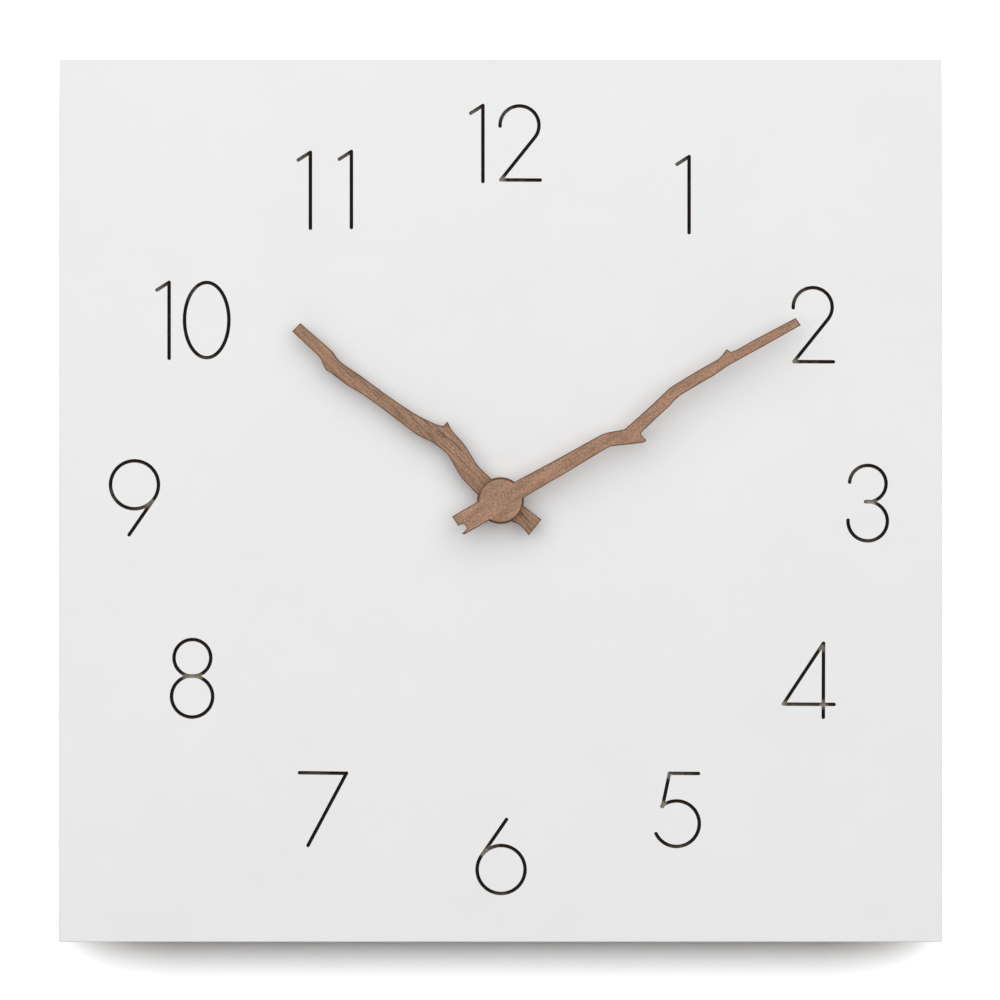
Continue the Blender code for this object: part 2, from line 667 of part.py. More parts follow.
def minute_hand():
    """The minute hand. Its wood covers the bush, so the pocket for it is blind."""
    piece = hand(
        "minute_hand", MINUTE_OUTLINE_SHARES, MINUTE_REACH, MINUTE_TAIL, MINUTE_BREADTH, MINUTE_BOSS,
        MINUTE_HAND_BACK, MINUTE_HAND_FRONT,
    )
    pocket = MINUTE_RADIUS + PRESS + BUSH_WALL + BUSH_GLUE
    carve(piece, rod(pocket, MINUTE_HAND_BACK - OVERRUN, MINUTE_CAP_FRONT + SEAT, sides=SIDES))
    finish_piece(piece, WOOD, turn=MINUTE_ANGLE)


def minute_hand_bush():
    """The brass cap that grips the end of the minute arbor and hides it."""
    bore = MINUTE_RADIUS + PRESS
    barrel = bore + BUSH_WALL
    piece = add_object("minute_hand_bush", turned((
        (0, MINUTE_ARBOR_FRONT + SEAT),
        (bore, MINUTE_ARBOR_FRONT + SEAT),
        (bore, MINUTE_BUSH_BACK),
        (BUSH_RADIUS, MINUTE_BUSH_BACK),
        (BUSH_RADIUS, MINUTE_BUSH_BACK + BUSH_FLANGE),
        (barrel, MINUTE_BUSH_BACK + BUSH_FLANGE),
        (barrel, MINUTE_CAP_FRONT),
        (0, MINUTE_CAP_FRONT),
    )))
    finish_piece(piece, BRASS)


def hour_wheel():
    """The hour wheel and the tube that carries the hour hand."""
    phase = meshed_phase(MOTION_PINION_TEETH, 0, MOTION, HOUR_TEETH, CENTRE)
    toothed = pinion(HOUR_TEETH, MOTION_MODULE, HOUR_WHEEL_BACK, HOUR_WHEEL_FRONT, phase)
    piece = add_object("hour_wheel", toothed)
    inside = (HOUR_WHEEL_BACK + HOUR_WHEEL_FRONT) / 2
    fuse(piece, rod(HOUR_TUBE_RADIUS, inside, HOUR_HAND_FRONT, sides=SIDES))
    carve(piece, rod(HOUR_TUBE_BORE, HOUR_WHEEL_BACK - OVERRUN, HOUR_HAND_FRONT + OVERRUN, sides=SIDES))
    finish_piece(piece, PLASTIC_WHITE)


def minute_arbor():
    """The hollow minute arbor with the cannon pinion on it."""
    piece = add_object("minute_arbor", rod(MINUTE_RADIUS, MINUTE_ARBOR_BACK, MINUTE_ARBOR_FRONT))
    fuse(piece, pinion(CANNON_TEETH, MOTION_MODULE, CANNON_BACK, CANNON_FRONT))
    carve(piece, rod(MINUTE_BORE, MINUTE_ARBOR_BACK - OVERRUN, MINUTE_ARBOR_FRONT + OVERRUN))
    finish_piece(piece, STEEL)


def clutch_spring():
    """The dished washer that lets the hands be set while the train stands still."""
    bore = MINUTE_RADIUS + PRESS
    edge = CENTRE_FRONT + SPRING_EDGE
    crown = CANNON_BACK - SPRING_EDGE
    piece = add_object("clutch_spring", turned((
        (bore, crown - SPRING_THICK),
        (SPRING_RADIUS, edge),
        (SPRING_RADIUS, edge + SPRING_THICK),
        (bore, crown),
    ), SMALL_SIDES))
    finish_piece(piece, STEEL)


def motion_wheel():
    """The wheel and pinion between the minute arbor and the hour wheel."""
    phase = meshed_phase(CANNON_TEETH, 0, CENTRE, MOTION_TEETH, MOTION)
    piece = add_object("motion_wheel", pinion(MOTION_TEETH, MOTION_MODULE, MOTION_BACK, MOTION_FRONT, phase))
    low = (MOTION_BACK + MOTION_FRONT) / 2
    high = HOUR_WHEEL_FRONT + SEAT
    fuse(piece, pinion(MOTION_PINION_TEETH, MOTION_MODULE, low, high))
    carve(piece, rod(MOTION_BORE, MOTION_BACK - OVERRUN, high + OVERRUN))
    finish_piece(piece, PLASTIC_WHITE, MOTION)


def setting_pinion():
    """The stem with the pinion that turns the motion wheel by hand."""
    motion_phase = meshed_phase(CANNON_TEETH, 0, CENTRE, MOTION_TEETH, MOTION)
    phase = meshed_phase(MOTION_TEETH, motion_phase, MOTION, SETTING_TEETH, SETTING)
    low = KNOB_SINK + KNOB_THICK - KNOB_GRIP + SEAT
    inside = (CANNON_BACK + CANNON_FRONT) / 2
    piece = add_object("setting_pinion", rod(STEM_RADIUS, low, inside))
    fuse(
        piece,
        pinion(SETTING_TEETH, MOTION_MODULE, CANNON_BACK, CANNON_FRONT, phase),
        rod(STEM_PIVOT_RADIUS, inside, CANNON_FRONT + PIVOT_DEPTH),
    )
    finish_piece(piece, PLASTIC_WHITE, SETTING)


def setting_knob():
    """The scalloped knob pressed on the stem, flush with the back of the case."""
    sides = 2 * KNOB_SCALLOPS
    outline = []
    for side in range(sides):
        radius = KNOB_RADIUS - KNOB_SCALLOP_DEPTH * (side % 2)
        outline.append(offset(CENTRE, radius, 2 * math.pi * side / sides))
    high = KNOB_SINK + KNOB_THICK
    piece = add_object("setting_knob", prism(outline, KNOB_SINK, high))
    carve(piece, rod(STEM_RADIUS + PRESS, high - KNOB_GRIP, high + OVERRUN))
    finish_piece(piece, PLASTIC_BLACK, SETTING)


def centre_wheel():
    """The wheel that the train turns once an hour. It slips on the minute arbor when the hands are set."""
    phase = meshed_phase(TRAIN_PINION_TEETH, 0, THIRD, CENTRE_TEETH, CENTRE)
    piece = wheel("centre_wheel", CENTRE_TEETH, CENTRE_MODULE, phase, CENTRE_BACK, CENTRE_FRONT)
    carve(piece, rod(MINUTE_RADIUS + RUN, CENTRE_BACK - OVERRUN, CENTRE_FRONT + OVERRUN))
    finish_piece(piece, PLASTIC_WHITE)


def third_wheel():
    """The third wheel, with its pinion in front of the middle plate."""
    phase = meshed_phase(TRAIN_PINION_TEETH, 0, CENTRE, THIRD_TEETH, THIRD)
    piece = wheel("third_wheel", THIRD_TEETH, TRAIN_MODULE, phase, THIRD_BACK, THIRD_FRONT)
    fuse(
        piece,
        rod(HUB_RADIUS, SECONDS_PINION_BACK, (THIRD_PINION_BACK + THIRD_PINION_FRONT) / 2),
        pinion(TRAIN_PINION_TEETH, CENTRE_MODULE, THIRD_PINION_BACK, THIRD_PINION_FRONT),
        rod(PIVOT_RADIUS, PIVOT_BACK, THIRD_PINION_FRONT + PIVOT_DEPTH),
    )
    finish_piece(piece, PLASTIC_WHITE, THIRD)


def seconds_wheel():
    """The wheel that turns once a minute behind the hands. No hand is fitted to it."""
    phase = meshed_phase(TRAIN_PINION_TEETH, 0, TRANSFER, SECONDS_TEETH, CENTRE)
    piece = wheel("seconds_wheel", SECONDS_TEETH, TRAIN_MODULE, phase, SECONDS_BACK, SECONDS_FRONT)
    fuse(
        piece,
        rod(HUB_RADIUS, (SECONDS_BACK + SECONDS_FRONT) / 2, (SECONDS_PINION_BACK + SECONDS_PINION_FRONT) / 2),
        pinion(TRAIN_PINION_TEETH, TRAIN_MODULE, SECONDS_PINION_BACK, SECONDS_PINION_FRONT),
    )
    carve(piece, rod(SECONDS_RADIUS + PRESS, SECONDS_BACK - OVERRUN, SECONDS_PINION_FRONT + OVERRUN))
    finish_piece(piece, PLASTIC_WHITE)


def seconds_arbor():
    """The steel arbor that runs inside the minute arbor."""
    piece = add_object("seconds_arbor", rod(SECONDS_RADIUS, PIVOT_BACK, SECONDS_ARBOR_FRONT))
    finish_piece(piece, STEEL)


def transfer_wheel():
    """The wheel between the rotor and the seconds wheel."""
    phase = meshed_phase(TRAIN_PINION_TEETH, 0, ROTOR, TRANSFER_TEETH, TRANSFER)
    piece = wheel("transfer_wheel", TRANSFER_TEETH, TRAIN_MODULE, phase, TRANSFER_BACK, TRANSFER_FRONT)
    fuse(
        piece,
        rod(HUB_RADIUS, (TRANSFER_BACK + TRANSFER_FRONT) / 2, (TRANSFER_PINION_BACK + TRANSFER_PINION_FRONT) / 2),
        pinion(TRAIN_PINION_TEETH, TRAIN_MODULE, TRANSFER_PINION_BACK, TRANSFER_PINION_FRONT),
        rod(PIVOT_RADIUS, PIVOT_BACK, MIDDLE_FRONT - SEAT),
    )
    finish_piece(piece, PLASTIC_WHITE, TRANSFER)


def rotor_pinion():
    """The rotor's shaft, with its pinion and the seat for the magnet."""
    magnet_front = MIDDLE_BACK - RUN - SEAT
    magnet_back = magnet_front - MAGNET_LENGTH
    piece = add_object("rotor_pinion", rod(PIVOT_RADIUS, PIVOT_BACK, MIDDLE_FRONT - SEAT))
    fuse(
        piece,
        pinion(TRAIN_PINION_TEETH, TRAIN_MODULE, ROTOR_PINION_BACK, ROTOR_PINION_FRONT),
        rod(ROTOR_HUB_RADIUS, (ROTOR_PINION_BACK + ROTOR_PINION_FRONT) / 2, magnet_front),
        rod(ROTOR_FLANGE_RADIUS, magnet_back - SEAT - ROTOR_FLANGE, magnet_back - SEAT),
    )
    finish_piece(piece, PLASTIC_WHITE, ROTOR)


def rotor_magnet():
    """The round magnet that the coil turns by half a turn each second."""
    high = MIDDLE_BACK - RUN - SEAT
    low = high - MAGNET_LENGTH
    bore = ROTOR_HUB_RADIUS + PRESS
    piece = add_object("rotor_magnet", turned(
        ((bore, low), (MAGNET_RADIUS, low), (MAGNET_RADIUS, high), (bore, high)), SMALL_SIDES,
    ))
    finish_piece(piece, MAGNET, ROTOR)


def stator_plate():
    """The soft iron plate round the rotor, with an arm up to each end of the coil."""
    outer = STATOR_INNER + STATOR_ARM
    low = -STATOR_BAR / 2
    top = STATOR_REACH + STATOR_END
    outline = (
        (-outer, low), (outer, low), (outer, top), (STATOR_INNER, top),
        (STATOR_INNER, -low), (-STATOR_INNER, -low), (-STATOR_INNER, top), (-outer, top),
    )
    piece = add_object("stator_plate", prism(outline, STATOR_BACK, STATOR_FRONT))
    below, above = STATOR_BACK - OVERRUN, STATOR_FRONT + OVERRUN
    carve(piece, rod(MAGNET_RADIUS + MAGNET_GAP, below, above, sides=SIDES))
    for side in (-1, 1):
        centre = (side * (STATOR_INNER + STATOR_ARM / 2), STATOR_REACH)
        carve(piece, rod(MOTOR_PIN_RADIUS + RUN, below, above, centre))
    finish_piece(piece, IRON, ROTOR)


def coil_core():
    """The iron bar through the coil, pinned to the stator's arms."""
    half = STATOR_INNER + STATOR_ARM
    outline = rectangle(-half, -CORE_HEIGHT / 2, half, CORE_HEIGHT / 2)
    piece = add_object("coil_core", prism(outline, CORE_BACK, CORE_FRONT))
    for side in (-1, 1):
        centre = (side * (STATOR_INNER + STATOR_ARM / 2), 0)
        carve(piece, rod(MOTOR_PIN_RADIUS + RUN, CORE_BACK - OVERRUN, CORE_FRONT + OVERRUN, centre))
    finish_piece(piece, IRON, (ROTOR[0], COIL_HEIGHT))


def coil_place():
    """The middle of the coil, in its own plane and at the level of the core."""
    return (0, 0, (CORE_BACK + CORE_FRONT) / 2)


def coil_bobbin():
    """The spool on the core, with a flange at each end."""
    half = STATOR_INNER - TOUCH
    spool = turned((
        (0, -half),
        (BOBBIN_RADIUS, -half),
        (BOBBIN_RADIUS, BOBBIN_FLANGE - half),
        (BOBBIN_BARREL, BOBBIN_FLANGE - half),
        (BOBBIN_BARREL, half - BOBBIN_FLANGE),
        (BOBBIN_RADIUS, half - BOBBIN_FLANGE),
        (BOBBIN_RADIUS, half),
        (0, half),
    ))
    piece = add_object("coil_bobbin", on_side(spool, coil_place()))
    reach = CORE_HEIGHT / 2 + RUN
    slot = prism(rectangle(-half - OVERRUN, -reach, half + OVERRUN, reach), CORE_BACK - RUN, CORE_FRONT + RUN)
    carve(piece, slot)
    finish_piece(piece, PLASTIC_BLUE, (ROTOR[0], COIL_HEIGHT))


def coil_winding():
    """The fine copper wire on the bobbin, as one sleeve."""
    half = STATOR_INNER - TOUCH - BOBBIN_FLANGE - SEAT
    bore = BOBBIN_BARREL + PRESS
    sleeve = turned(((bore, -half), (WINDING_RADIUS, -half), (WINDING_RADIUS, half), (bore, half)))
    piece = add_object("coil_winding", on_side(sleeve, coil_place()))
    finish_piece(piece, COPPER, (ROTOR[0], COIL_HEIGHT))


def circuit_board():
    """The board that pulses the coil, held on two pins."""
    outline = rectangle(CIRCUIT_LEFT, CIRCUIT_BOTTOM, CIRCUIT_RIGHT, CIRCUIT_TOP)
    front = CIRCUIT_BACK + CIRCUIT_THICK
    piece = add_object("circuit_board", prism(outline, CIRCUIT_BACK, front))
    for place in CIRCUIT_POSTS:
        carve(piece, rod(CIRCUIT_PIN_RADIUS + RUN, CIRCUIT_BACK - OVERRUN, front + OVERRUN, place))
    finish_piece(piece, CIRCUIT_GREEN)


def circuit_point(shares):
    """A place on the circuit board, from shares of its width and height."""
    return (
        CIRCUIT_LEFT + shares[0] * (CIRCUIT_RIGHT - CIRCUIT_LEFT),
        CIRCUIT_BOTTOM + shares[1] * CIRCUIT_HEIGHT,
    )


def chip_cover():
    """The drop of resin over the chip."""
    base = CIRCUIT_BACK + CIRCUIT_THICK + SEAT
    steps = CORNER_STEPS
    profile = [(0, base)]
    for step in range(steps + 1):
        angle = math.pi / 2 * step / steps
        profile.append((CHIP_RADIUS * math.cos(angle), base + CHIP_HEIGHT * math.sin(angle)))
    profile[-1] = (0, base + CHIP_HEIGHT)
    piece = add_object("chip_cover", turned(profile, SMALL_SIDES))
    finish_piece(piece, RESIN, circuit_point(CHIP_PLACE_SHARES))


def quartz_crystal():
    """The quartz in its little can, lying on the circuit board."""
    half = CRYSTAL_LENGTH / 2
    base = CRYSTAL_RADIUS + CRYSTAL_COLLAR
    collar_end = CRYSTAL_COLLAR + CRYSTAL_COLLAR - half
    can = turned((
        (0, -half), (base, -half), (base, collar_end), (CRYSTAL_RADIUS, collar_end),
        (CRYSTAL_RADIUS, half), (0, half),
    ), SMALL_SIDES)
    level = CIRCUIT_BACK + CIRCUIT_THICK + SEAT + base
    piece = add_object("quartz_crystal", on_side(can, (0, 0, level)))
    finish_piece(piece, STEEL, circuit_point(CRYSTAL_PLACE_SHARES))


def contact_bow(side):
    """The bowed stretch of a contact that presses on one end of the battery, from the bottom up."""
    return [
        (side * STRIP_SEAT, BAY_BOTTOM + STRIP_END),
        (side * STRIP_SEAT, BATTERY_HEIGHT - STRIP_SLOPE),
        (side * STRIP_BULGE, BATTERY_HEIGHT - STRIP_FLAT),
        (side * STRIP_BULGE, BATTERY_HEIGHT + STRIP_FLAT),
        (side * STRIP_SEAT, BATTERY_HEIGHT + STRIP_SLOPE),
    ]


def positive_contact():
    """The strip from the battery's nub up to the front of the circuit board."""
    path = contact_bow(-1) + [(-STRIP_SEAT, CIRCUIT_BOTTOM + STRIP_OVERLAP)]
    shape = prism(strip_outline(path, STRIP), POSITIVE_BACK, POSITIVE_BACK + STRIP_WIDTH)
    piece = add_object("positive_contact", shape)
    finish_piece(piece, NICKEL)


def negative_contact():
    """The strip from the battery's flat end, over the partition, to the back of the circuit board."""
    over = PARTITION_TOP + SEAT + STRIP / 2
    path = contact_bow(1) + [
        (STRIP_SEAT, over),
        (-STRIP_SEAT, over),
        (-STRIP_SEAT, CIRCUIT_BOTTOM + STRIP_OVERLAP),
    ]
    shape = prism(strip_outline(path, STRIP), NEGATIVE_BACK, NEGATIVE_BACK + STRIP_WIDTH)
    piece = add_object("negative_contact", shape)
    finish_piece(piece, NICKEL)


def battery():
    """The AA cell, with its nub to the left."""
    half = BATTERY_LENGTH / 2
    base = BATTERY_RADIUS * BATTERY_BASE_SHARE
    cell = turned((
        (0, -half),
        (BATTERY_NUB_RADIUS, -half),
        (BATTERY_NUB_RADIUS, BATTERY_NUB - half),
        (base, BATTERY_NUB - half),
        (BATTERY_RADIUS, BATTERY_NUB + BATTERY_BASE - half),
        (BATTERY_RADIUS, half - BATTERY_BASE),
        (base, half),
        (0, half),
    ))
    piece = add_object("battery", on_side(cell, (0, 0, BATTERY_LEVEL)))
    finish_piece(piece, SLEEVE, (0, BATTERY_HEIGHT))


def case_partition():
    """The wall between battery and wheels. It stops short at both ends, where the contacts pass it."""
    narrow = INNER_HALF - PARTITION_NOTCH
    wide = INNER_HALF + CASE_WALL / 2
    step = POSITIVE_BACK + STRIP_WIDTH + TOUCH
    low = COVER_THICK + SEAT
    high = FLOOR + CASE_FRONT / 2
    outline = (
        (low, -narrow), (step, -narrow), (step, -wide), (high, -wide),
        (high, wide), (step, wide), (step, narrow), (low, narrow),
    )
    wall = prism(outline, PARTITION_BOTTOM, PARTITION_TOP)
    stand = Matrix(((0, 1, 0, 0), (0, 0, 1, 0), (1, 0, 0, 0), (0, 0, 0, 1)))
    bmesh.ops.transform(wall, matrix=stand, verts=wall.verts)
    return wall


def front_case():
    """The moulded case: walls, partition, posts and bearing bosses, open at the back."""
    outline = rounded_rectangle(-CASE_HALF, CASE_BOTTOM, CASE_HALF, CASE_TOP, CASE_CORNER)
    piece = add_object("front_case", prism(outline, 0, CASE_DEPTH))
    inner_corner = CASE_CORNER - CASE_WALL
    room = rounded_rectangle(-INNER_HALF, BAY_BOTTOM, INNER_HALF, ROOM_TOP, inner_corner)
    carve(piece, prism(room, -OVERRUN, FLOOR))
    root = FLOOR + CASE_FRONT / 2
    supports = [case_partition()]
    supports += [rod(CORNER_POST_RADIUS, COVER_THICK + SEAT, root, place) for place in CORNER_POSTS]
    for place in MIDDLE_POSTS:
        supports.append(rod(MIDDLE_POST_RADIUS, MIDDLE_FRONT + SEAT, root, place))
        supports.append(rod(MIDDLE_PIN_RADIUS, MIDDLE_BACK, root, place))
    for place in MOTOR_POSTS:
        supports.append(rod(MOTOR_POST_RADIUS, CORE_FRONT + SEAT, root, place))
        supports.append(rod(MOTOR_PIN_RADIUS, STATOR_BACK, root, place))
    for place in CIRCUIT_POSTS:
        supports.append(rod(CIRCUIT_POST_RADIUS, CIRCUIT_BACK + CIRCUIT_THICK + SEAT, root, place))
        supports.append(rod(CIRCUIT_PIN_RADIUS, CIRCUIT_BACK, root, place))
    supports.append(rod(COVER_BOSS_RADIUS, THIRD_PINION_FRONT + PLATE_GAP, root, THIRD))
    supports.append(rod(STEM_PIVOT_RADIUS + RUN + CASE_FRONT, CANNON_FRONT + SEAT + SEAT, root, SETTING))
    supports.append(rod(MOTION_POST_RADIUS, MOTION_BACK, root, MOTION))
    fuse(piece, *supports)
    window = LEG_WIDTH / 2 + TOUCH
    windows = []
    for side in (-1, 1):
        inner, outer = sorted((side * (INNER_HALF - RUN), side * (CASE_HALF + OVERRUN)))
        opening = rectangle(inner, LEG_PLACE - window, outer, LEG_PLACE + window)
        low = COVER_THICK + LEG_LENGTH - BARB_LENGTH - TOUCH
        windows.append(prism(opening, low, low + BARB_LENGTH + 2 * TOUCH))
    thumb = THUMB_NOTCH_WIDTH / 2
    notch = rectangle(-thumb, CASE_BOTTOM - OVERRUN, thumb, BAY_BOTTOM + RUN)
    carve(
        piece,
        rod(BUSHING_HOLE, FLOOR - OVERRUN, CASE_DEPTH + OVERRUN, sides=SIDES),
        rod(PIVOT_RADIUS + RUN, THIRD_PINION_FRONT, THIRD_PINION_FRONT + PIVOT_DEPTH + SEAT, THIRD),
        rod(STEM_PIVOT_RADIUS + RUN, CANNON_FRONT, CANNON_FRONT + PIVOT_DEPTH + SEAT, SETTING),
        prism(notch, -OVERRUN, THUMB_NOTCH_DEPTH),
        *windows,
    )
    finish_piece(piece, PLASTIC_BLACK)


def snap_leg(side):
    """A leg of the rear cover, with a barb that springs into the case's window."""
    outer = INNER_HALF - TOUCH - SEAT
    inner = outer - LEG_THICK
    top = COVER_THICK + LEG_LENGTH
    barb = top - BARB_LENGTH
    outline = [
        (COVER_THICK / 2, inner), (COVER_THICK / 2, outer), (barb, outer),
        (barb, outer + BARB_REACH), (top, outer), (top, inner),
    ]
    leg = prism([(level, side * x) for level, x in outline], LEG_PLACE - LEG_WIDTH / 2, LEG_PLACE + LEG_WIDTH / 2)
    stand = Matrix(((0, 1, 0, 0), (0, 0, 1, 0), (1, 0, 0, 0), (0, 0, 0, 1)))
    bmesh.ops.transform(leg, matrix=stand, verts=leg.verts)
    return leg


def rear_cover():
    """The back of the movement: rear bearings, the well for the knob and two snap legs."""
    outline = rounded_rectangle(COVER_LEFT, COVER_BOTTOM, -COVER_LEFT, COVER_TOP, COVER_CORNER)
    piece = add_object("rear_cover", prism(outline, 0, COVER_THICK))
    inside = COVER_THICK / 2
    well = KNOB_RADIUS + WELL_PLAY
    well_floor = KNOB_SINK + KNOB_THICK + KNOB_SINK
    additions = [rod(well + WELL_WALL, inside, well_floor + WELL_FLOOR, SETTING, SIDES)]
    bearings = (CENTRE, THIRD, TRANSFER, ROTOR)
    additions += [rod(COVER_BOSS_RADIUS, inside, COVER_BOSS_TOP, place) for place in bearings]
    additions += [snap_leg(side) for side in (-1, 1)]
    fuse(piece, *additions)
    bore = SECONDS_RADIUS + RUN
    cuts = [rod(bore, COVER_THICK, COVER_BOSS_TOP + OVERRUN, place) for place in bearings]
    cuts.append(rod(well, -OVERRUN, well_floor, SETTING, SIDES))
    cuts.append(rod(STEM_RADIUS + RUN, inside, well_floor + WELL_FLOOR + OVERRUN, SETTING))
    carve(piece, *cuts)
    finish_piece(piece, PLASTIC_BLACK)


def middle_plate():
    """The plate between the two layers of wheels, with the front bearings of rotor and transfer wheel."""
    outline = rounded_rectangle(MIDDLE_LEFT, MIDDLE_BOTTOM, MIDDLE_RIGHT, MIDDLE_TOP, MIDDLE_CORNER)
    piece = add_object("middle_plate", prism(outline, MIDDLE_BACK, MIDDLE_FRONT))
    low, high = MIDDLE_BACK - OVERRUN, MIDDLE_FRONT + OVERRUN
    third_tip = CENTRE_MODULE * (TRAIN_PINION_TEETH / 2 + ADDENDUM_SHARE)
    cuts = [
        rod(SECONDS_RADIUS + TOUCH, low, high),
        rod(third_tip + TOUCH, low, high, THIRD),
        rod(PIVOT_RADIUS + RUN, low, high, TRANSFER),
        rod(PIVOT_RADIUS + RUN, low, high, ROTOR),
        rod(STEM_RADIUS + TOUCH, low, high, SETTING),
    ]
    cuts += [rod(MIDDLE_PIN_RADIUS + RUN, low, high, place) for place in MIDDLE_POSTS]
    carve(piece, *cuts)
    finish_piece(piece, PLASTIC_WHITE)


def threaded_bushing():
    """The threaded tube that the board is clamped on, pressed into the case."""
    collar_back = CASE_DEPTH + SEAT
    collar_front = collar_back + HANGER_SHEET
    piece = add_object("threaded_bushing", turned((
        (BUSHING_BORE, FLOOR - SEAT),
        (BUSHING_RADIUS, FLOOR - SEAT),
        (BUSHING_RADIUS, collar_back),
        (BUSHING_COLLAR, collar_back),
        (BUSHING_COLLAR, collar_front),
        (BUSHING_RADIUS, collar_front),
        (BUSHING_RADIUS, BUSHING_FRONT - BUSHING_CHAMFER),
        (BUSHING_RADIUS - BUSHING_CHAMFER, BUSHING_FRONT),
        (BUSHING_BORE, BUSHING_FRONT),
    )))
    finish_piece(piece, BRASS)


def clamped_ring(name, bore, radius, low, thickness, finish):
    """A flat ring on the bushing."""
    high = low + thickness
    piece = add_object(name, turned(((bore, low), (radius, low), (radius, high), (bore, high))))
    finish_piece(piece, finish)


def fixing_nut():
    """The thin hexagon nut that clamps the board, hidden behind the hands' bosses."""
    corner = NUT_FLATS / 2 / math.cos(math.pi / 6)
    piece = add_object("fixing_nut", prism(circle(corner, 6), NUT_BACK, NUT_BACK + NUT_THICK))
    bore = BUSHING_RADIUS + THREAD_PLAY
    carve(piece, rod(bore, NUT_BACK - OVERRUN, NUT_BACK + NUT_THICK + OVERRUN, sides=SIDES))
    finish_piece(piece, BRASS)


def hanger_plate():
    """The bent plate behind the board: it reaches back over the case and hooks on the wall screw."""
    leaf = (HANGER_BACK + HANGER_FRONT) / 2
    shelf = CASE_TOP + TOUCH + HANGER_SHEET / 2
    tab = HANGER_TAB_BACK + HANGER_SHEET / 2
    tab_top = shelf + HANGER_TAB_HEIGHT
    path = [(-HANGER_FOOT, leaf), (shelf, leaf), (shelf, tab), (tab_top, tab)]
    half = HANGER_WIDTH / 2
    sheet = prism(strip_outline(path, HANGER_SHEET), -half, half)
    piece = add_object("hanger_plate", on_side(sheet))
    low, high = HANGER_TAB_BACK - OVERRUN, HANGER_TAB_BACK + HANGER_SHEET + OVERRUN
    tab_half = HANGER_TAB_WIDTH / 2
    shoulder = shelf + HANGER_SHEET
    hole_place = (0, shelf + KEYHOLE_PLACE)
    slot_top = (0, hole_place[1] + KEYHOLE_RISE)
    slot_half = KEYHOLE_SLOT / 2
    cuts = [
        rod(BUSHING_COLLAR + TOUCH, HANGER_BACK - OVERRUN, HANGER_FRONT + OVERRUN, sides=SIDES),
        rod(KEYHOLE_RADIUS, low, high, hole_place, SIDES),
        rod(slot_half, low, high, slot_top),
        prism(rectangle(-slot_half, hole_place[1], slot_half, slot_top[1]), low, high),
    ]
    for side in (-1, 1):
        inner = side * tab_half
        outer = side * (half + OVERRUN)
        top = tab_top + OVERRUN
        corner = [
            (inner, shoulder), (outer, shoulder), (outer, top), (inner - side * HANGER_CORNER, top),
            (inner - side * HANGER_CORNER, tab_top), (inner, tab_top - HANGER_CORNER),
        ]
        cuts.append(prism(corner, low, high))
    carve(piece, *cuts)
    finish_piece(piece, ZINC)


for old in list(bpy.data.objects):
    bpy.data.objects.remove(old)

clock = bpy.data.objects.new("clock", None)
clock.rotation_euler = (math.pi / 2, 0, 0)
bpy.context.collection.objects.link(clock)

PAINT = principled("pale grey paint", (0.83, 0.83, 0.83), 0.75)
WOOD = principled("walnut", (0.41, 0.24, 0.155), 0.60)
BRASS = principled("brass", (0.72, 0.53, 0.25), 0.32, 1.0)
STEEL = principled("bright steel", (0.60, 0.60, 0.60), 0.30, 1.0)
ZINC = principled("zinc-plated steel", (0.62, 0.63, 0.62), 0.42, 1.0)
NICKEL = principled("nickel-plated strip", (0.70, 0.69, 0.65), 0.30, 1.0)
IRON = principled("soft iron", (0.42, 0.42, 0.43), 0.45, 1.0)
MAGNET = principled("magnet", (0.20, 0.20, 0.22), 0.45, 1.0)
COPPER = principled("enamelled copper", (0.72, 0.32, 0.16), 0.35, 1.0)
RUBBER = principled("rubber", (0.03, 0.03, 0.03), 0.85)
RESIN = principled("black resin", (0.02, 0.02, 0.02), 0.35)
SLEEVE = principled("battery sleeve", (0.05, 0.13, 0.20), 0.40)
CIRCUIT_GREEN = principled("circuit board", (0.04, 0.20, 0.08), 0.50)
PLASTIC_BLACK = principled("black plastic", (0.025, 0.025, 0.027), 0.50)
PLASTIC_WHITE = principled("white acetal", (0.80, 0.79, 0.74), 0.45)
PLASTIC_BLUE = principled("blue plastic", (0.06, 0.15, 0.42), 0.45)

dial_board()
clamped_ring(
    "rubber_gasket", BUSHING_RADIUS + TOUCH, GASKET_RADIUS, GASKET_BACK, GASKET_THICK, RUBBER
)
clamped_ring(
    "dial_washer", BUSHING_RADIUS + WASHER_PLAY, WASHER_RADIUS, WASHER_BACK, WASHER_THICK, BRASS
)
fixing_nut()
threaded_bushing()
hanger_plate()
front_case()
rear_cover()
middle_plate()
stator_plate()
coil_core()
coil_bobbin()
coil_winding()
circuit_board()
chip_cover()
quartz_crystal()
positive_contact()
negative_contact()
battery()
rotor_pinion()
rotor_magnet()
transfer_wheel()
seconds_wheel()
seconds_arbor()
third_wheel()
centre_wheel()
clutch_spring()
minute_arbor()
minute_hand_bush()
minute_hand()
motion_wheel()
hour_wheel()
hour_hand_bush()
hour_hand()
setting_pinion()
setting_knob()
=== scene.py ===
# %% [markdown]
# # A square wall clock with wooden hands
#
# The clock is a pale painted board with engraved figures, two hands cut like twigs from thin walnut, and a
# moulded quartz movement behind the board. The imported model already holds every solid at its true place, so
# this script loads it as a fixed frame and gives each surface its finish. Only pieces whose real surface has
# more in it than the solid shows are modelled again: the engraved board, the scorched hands, the battery
# and the moulded back.

# %% Load the model
import json
import math

import bmesh
import bpy
from mathutils import Matrix, Vector


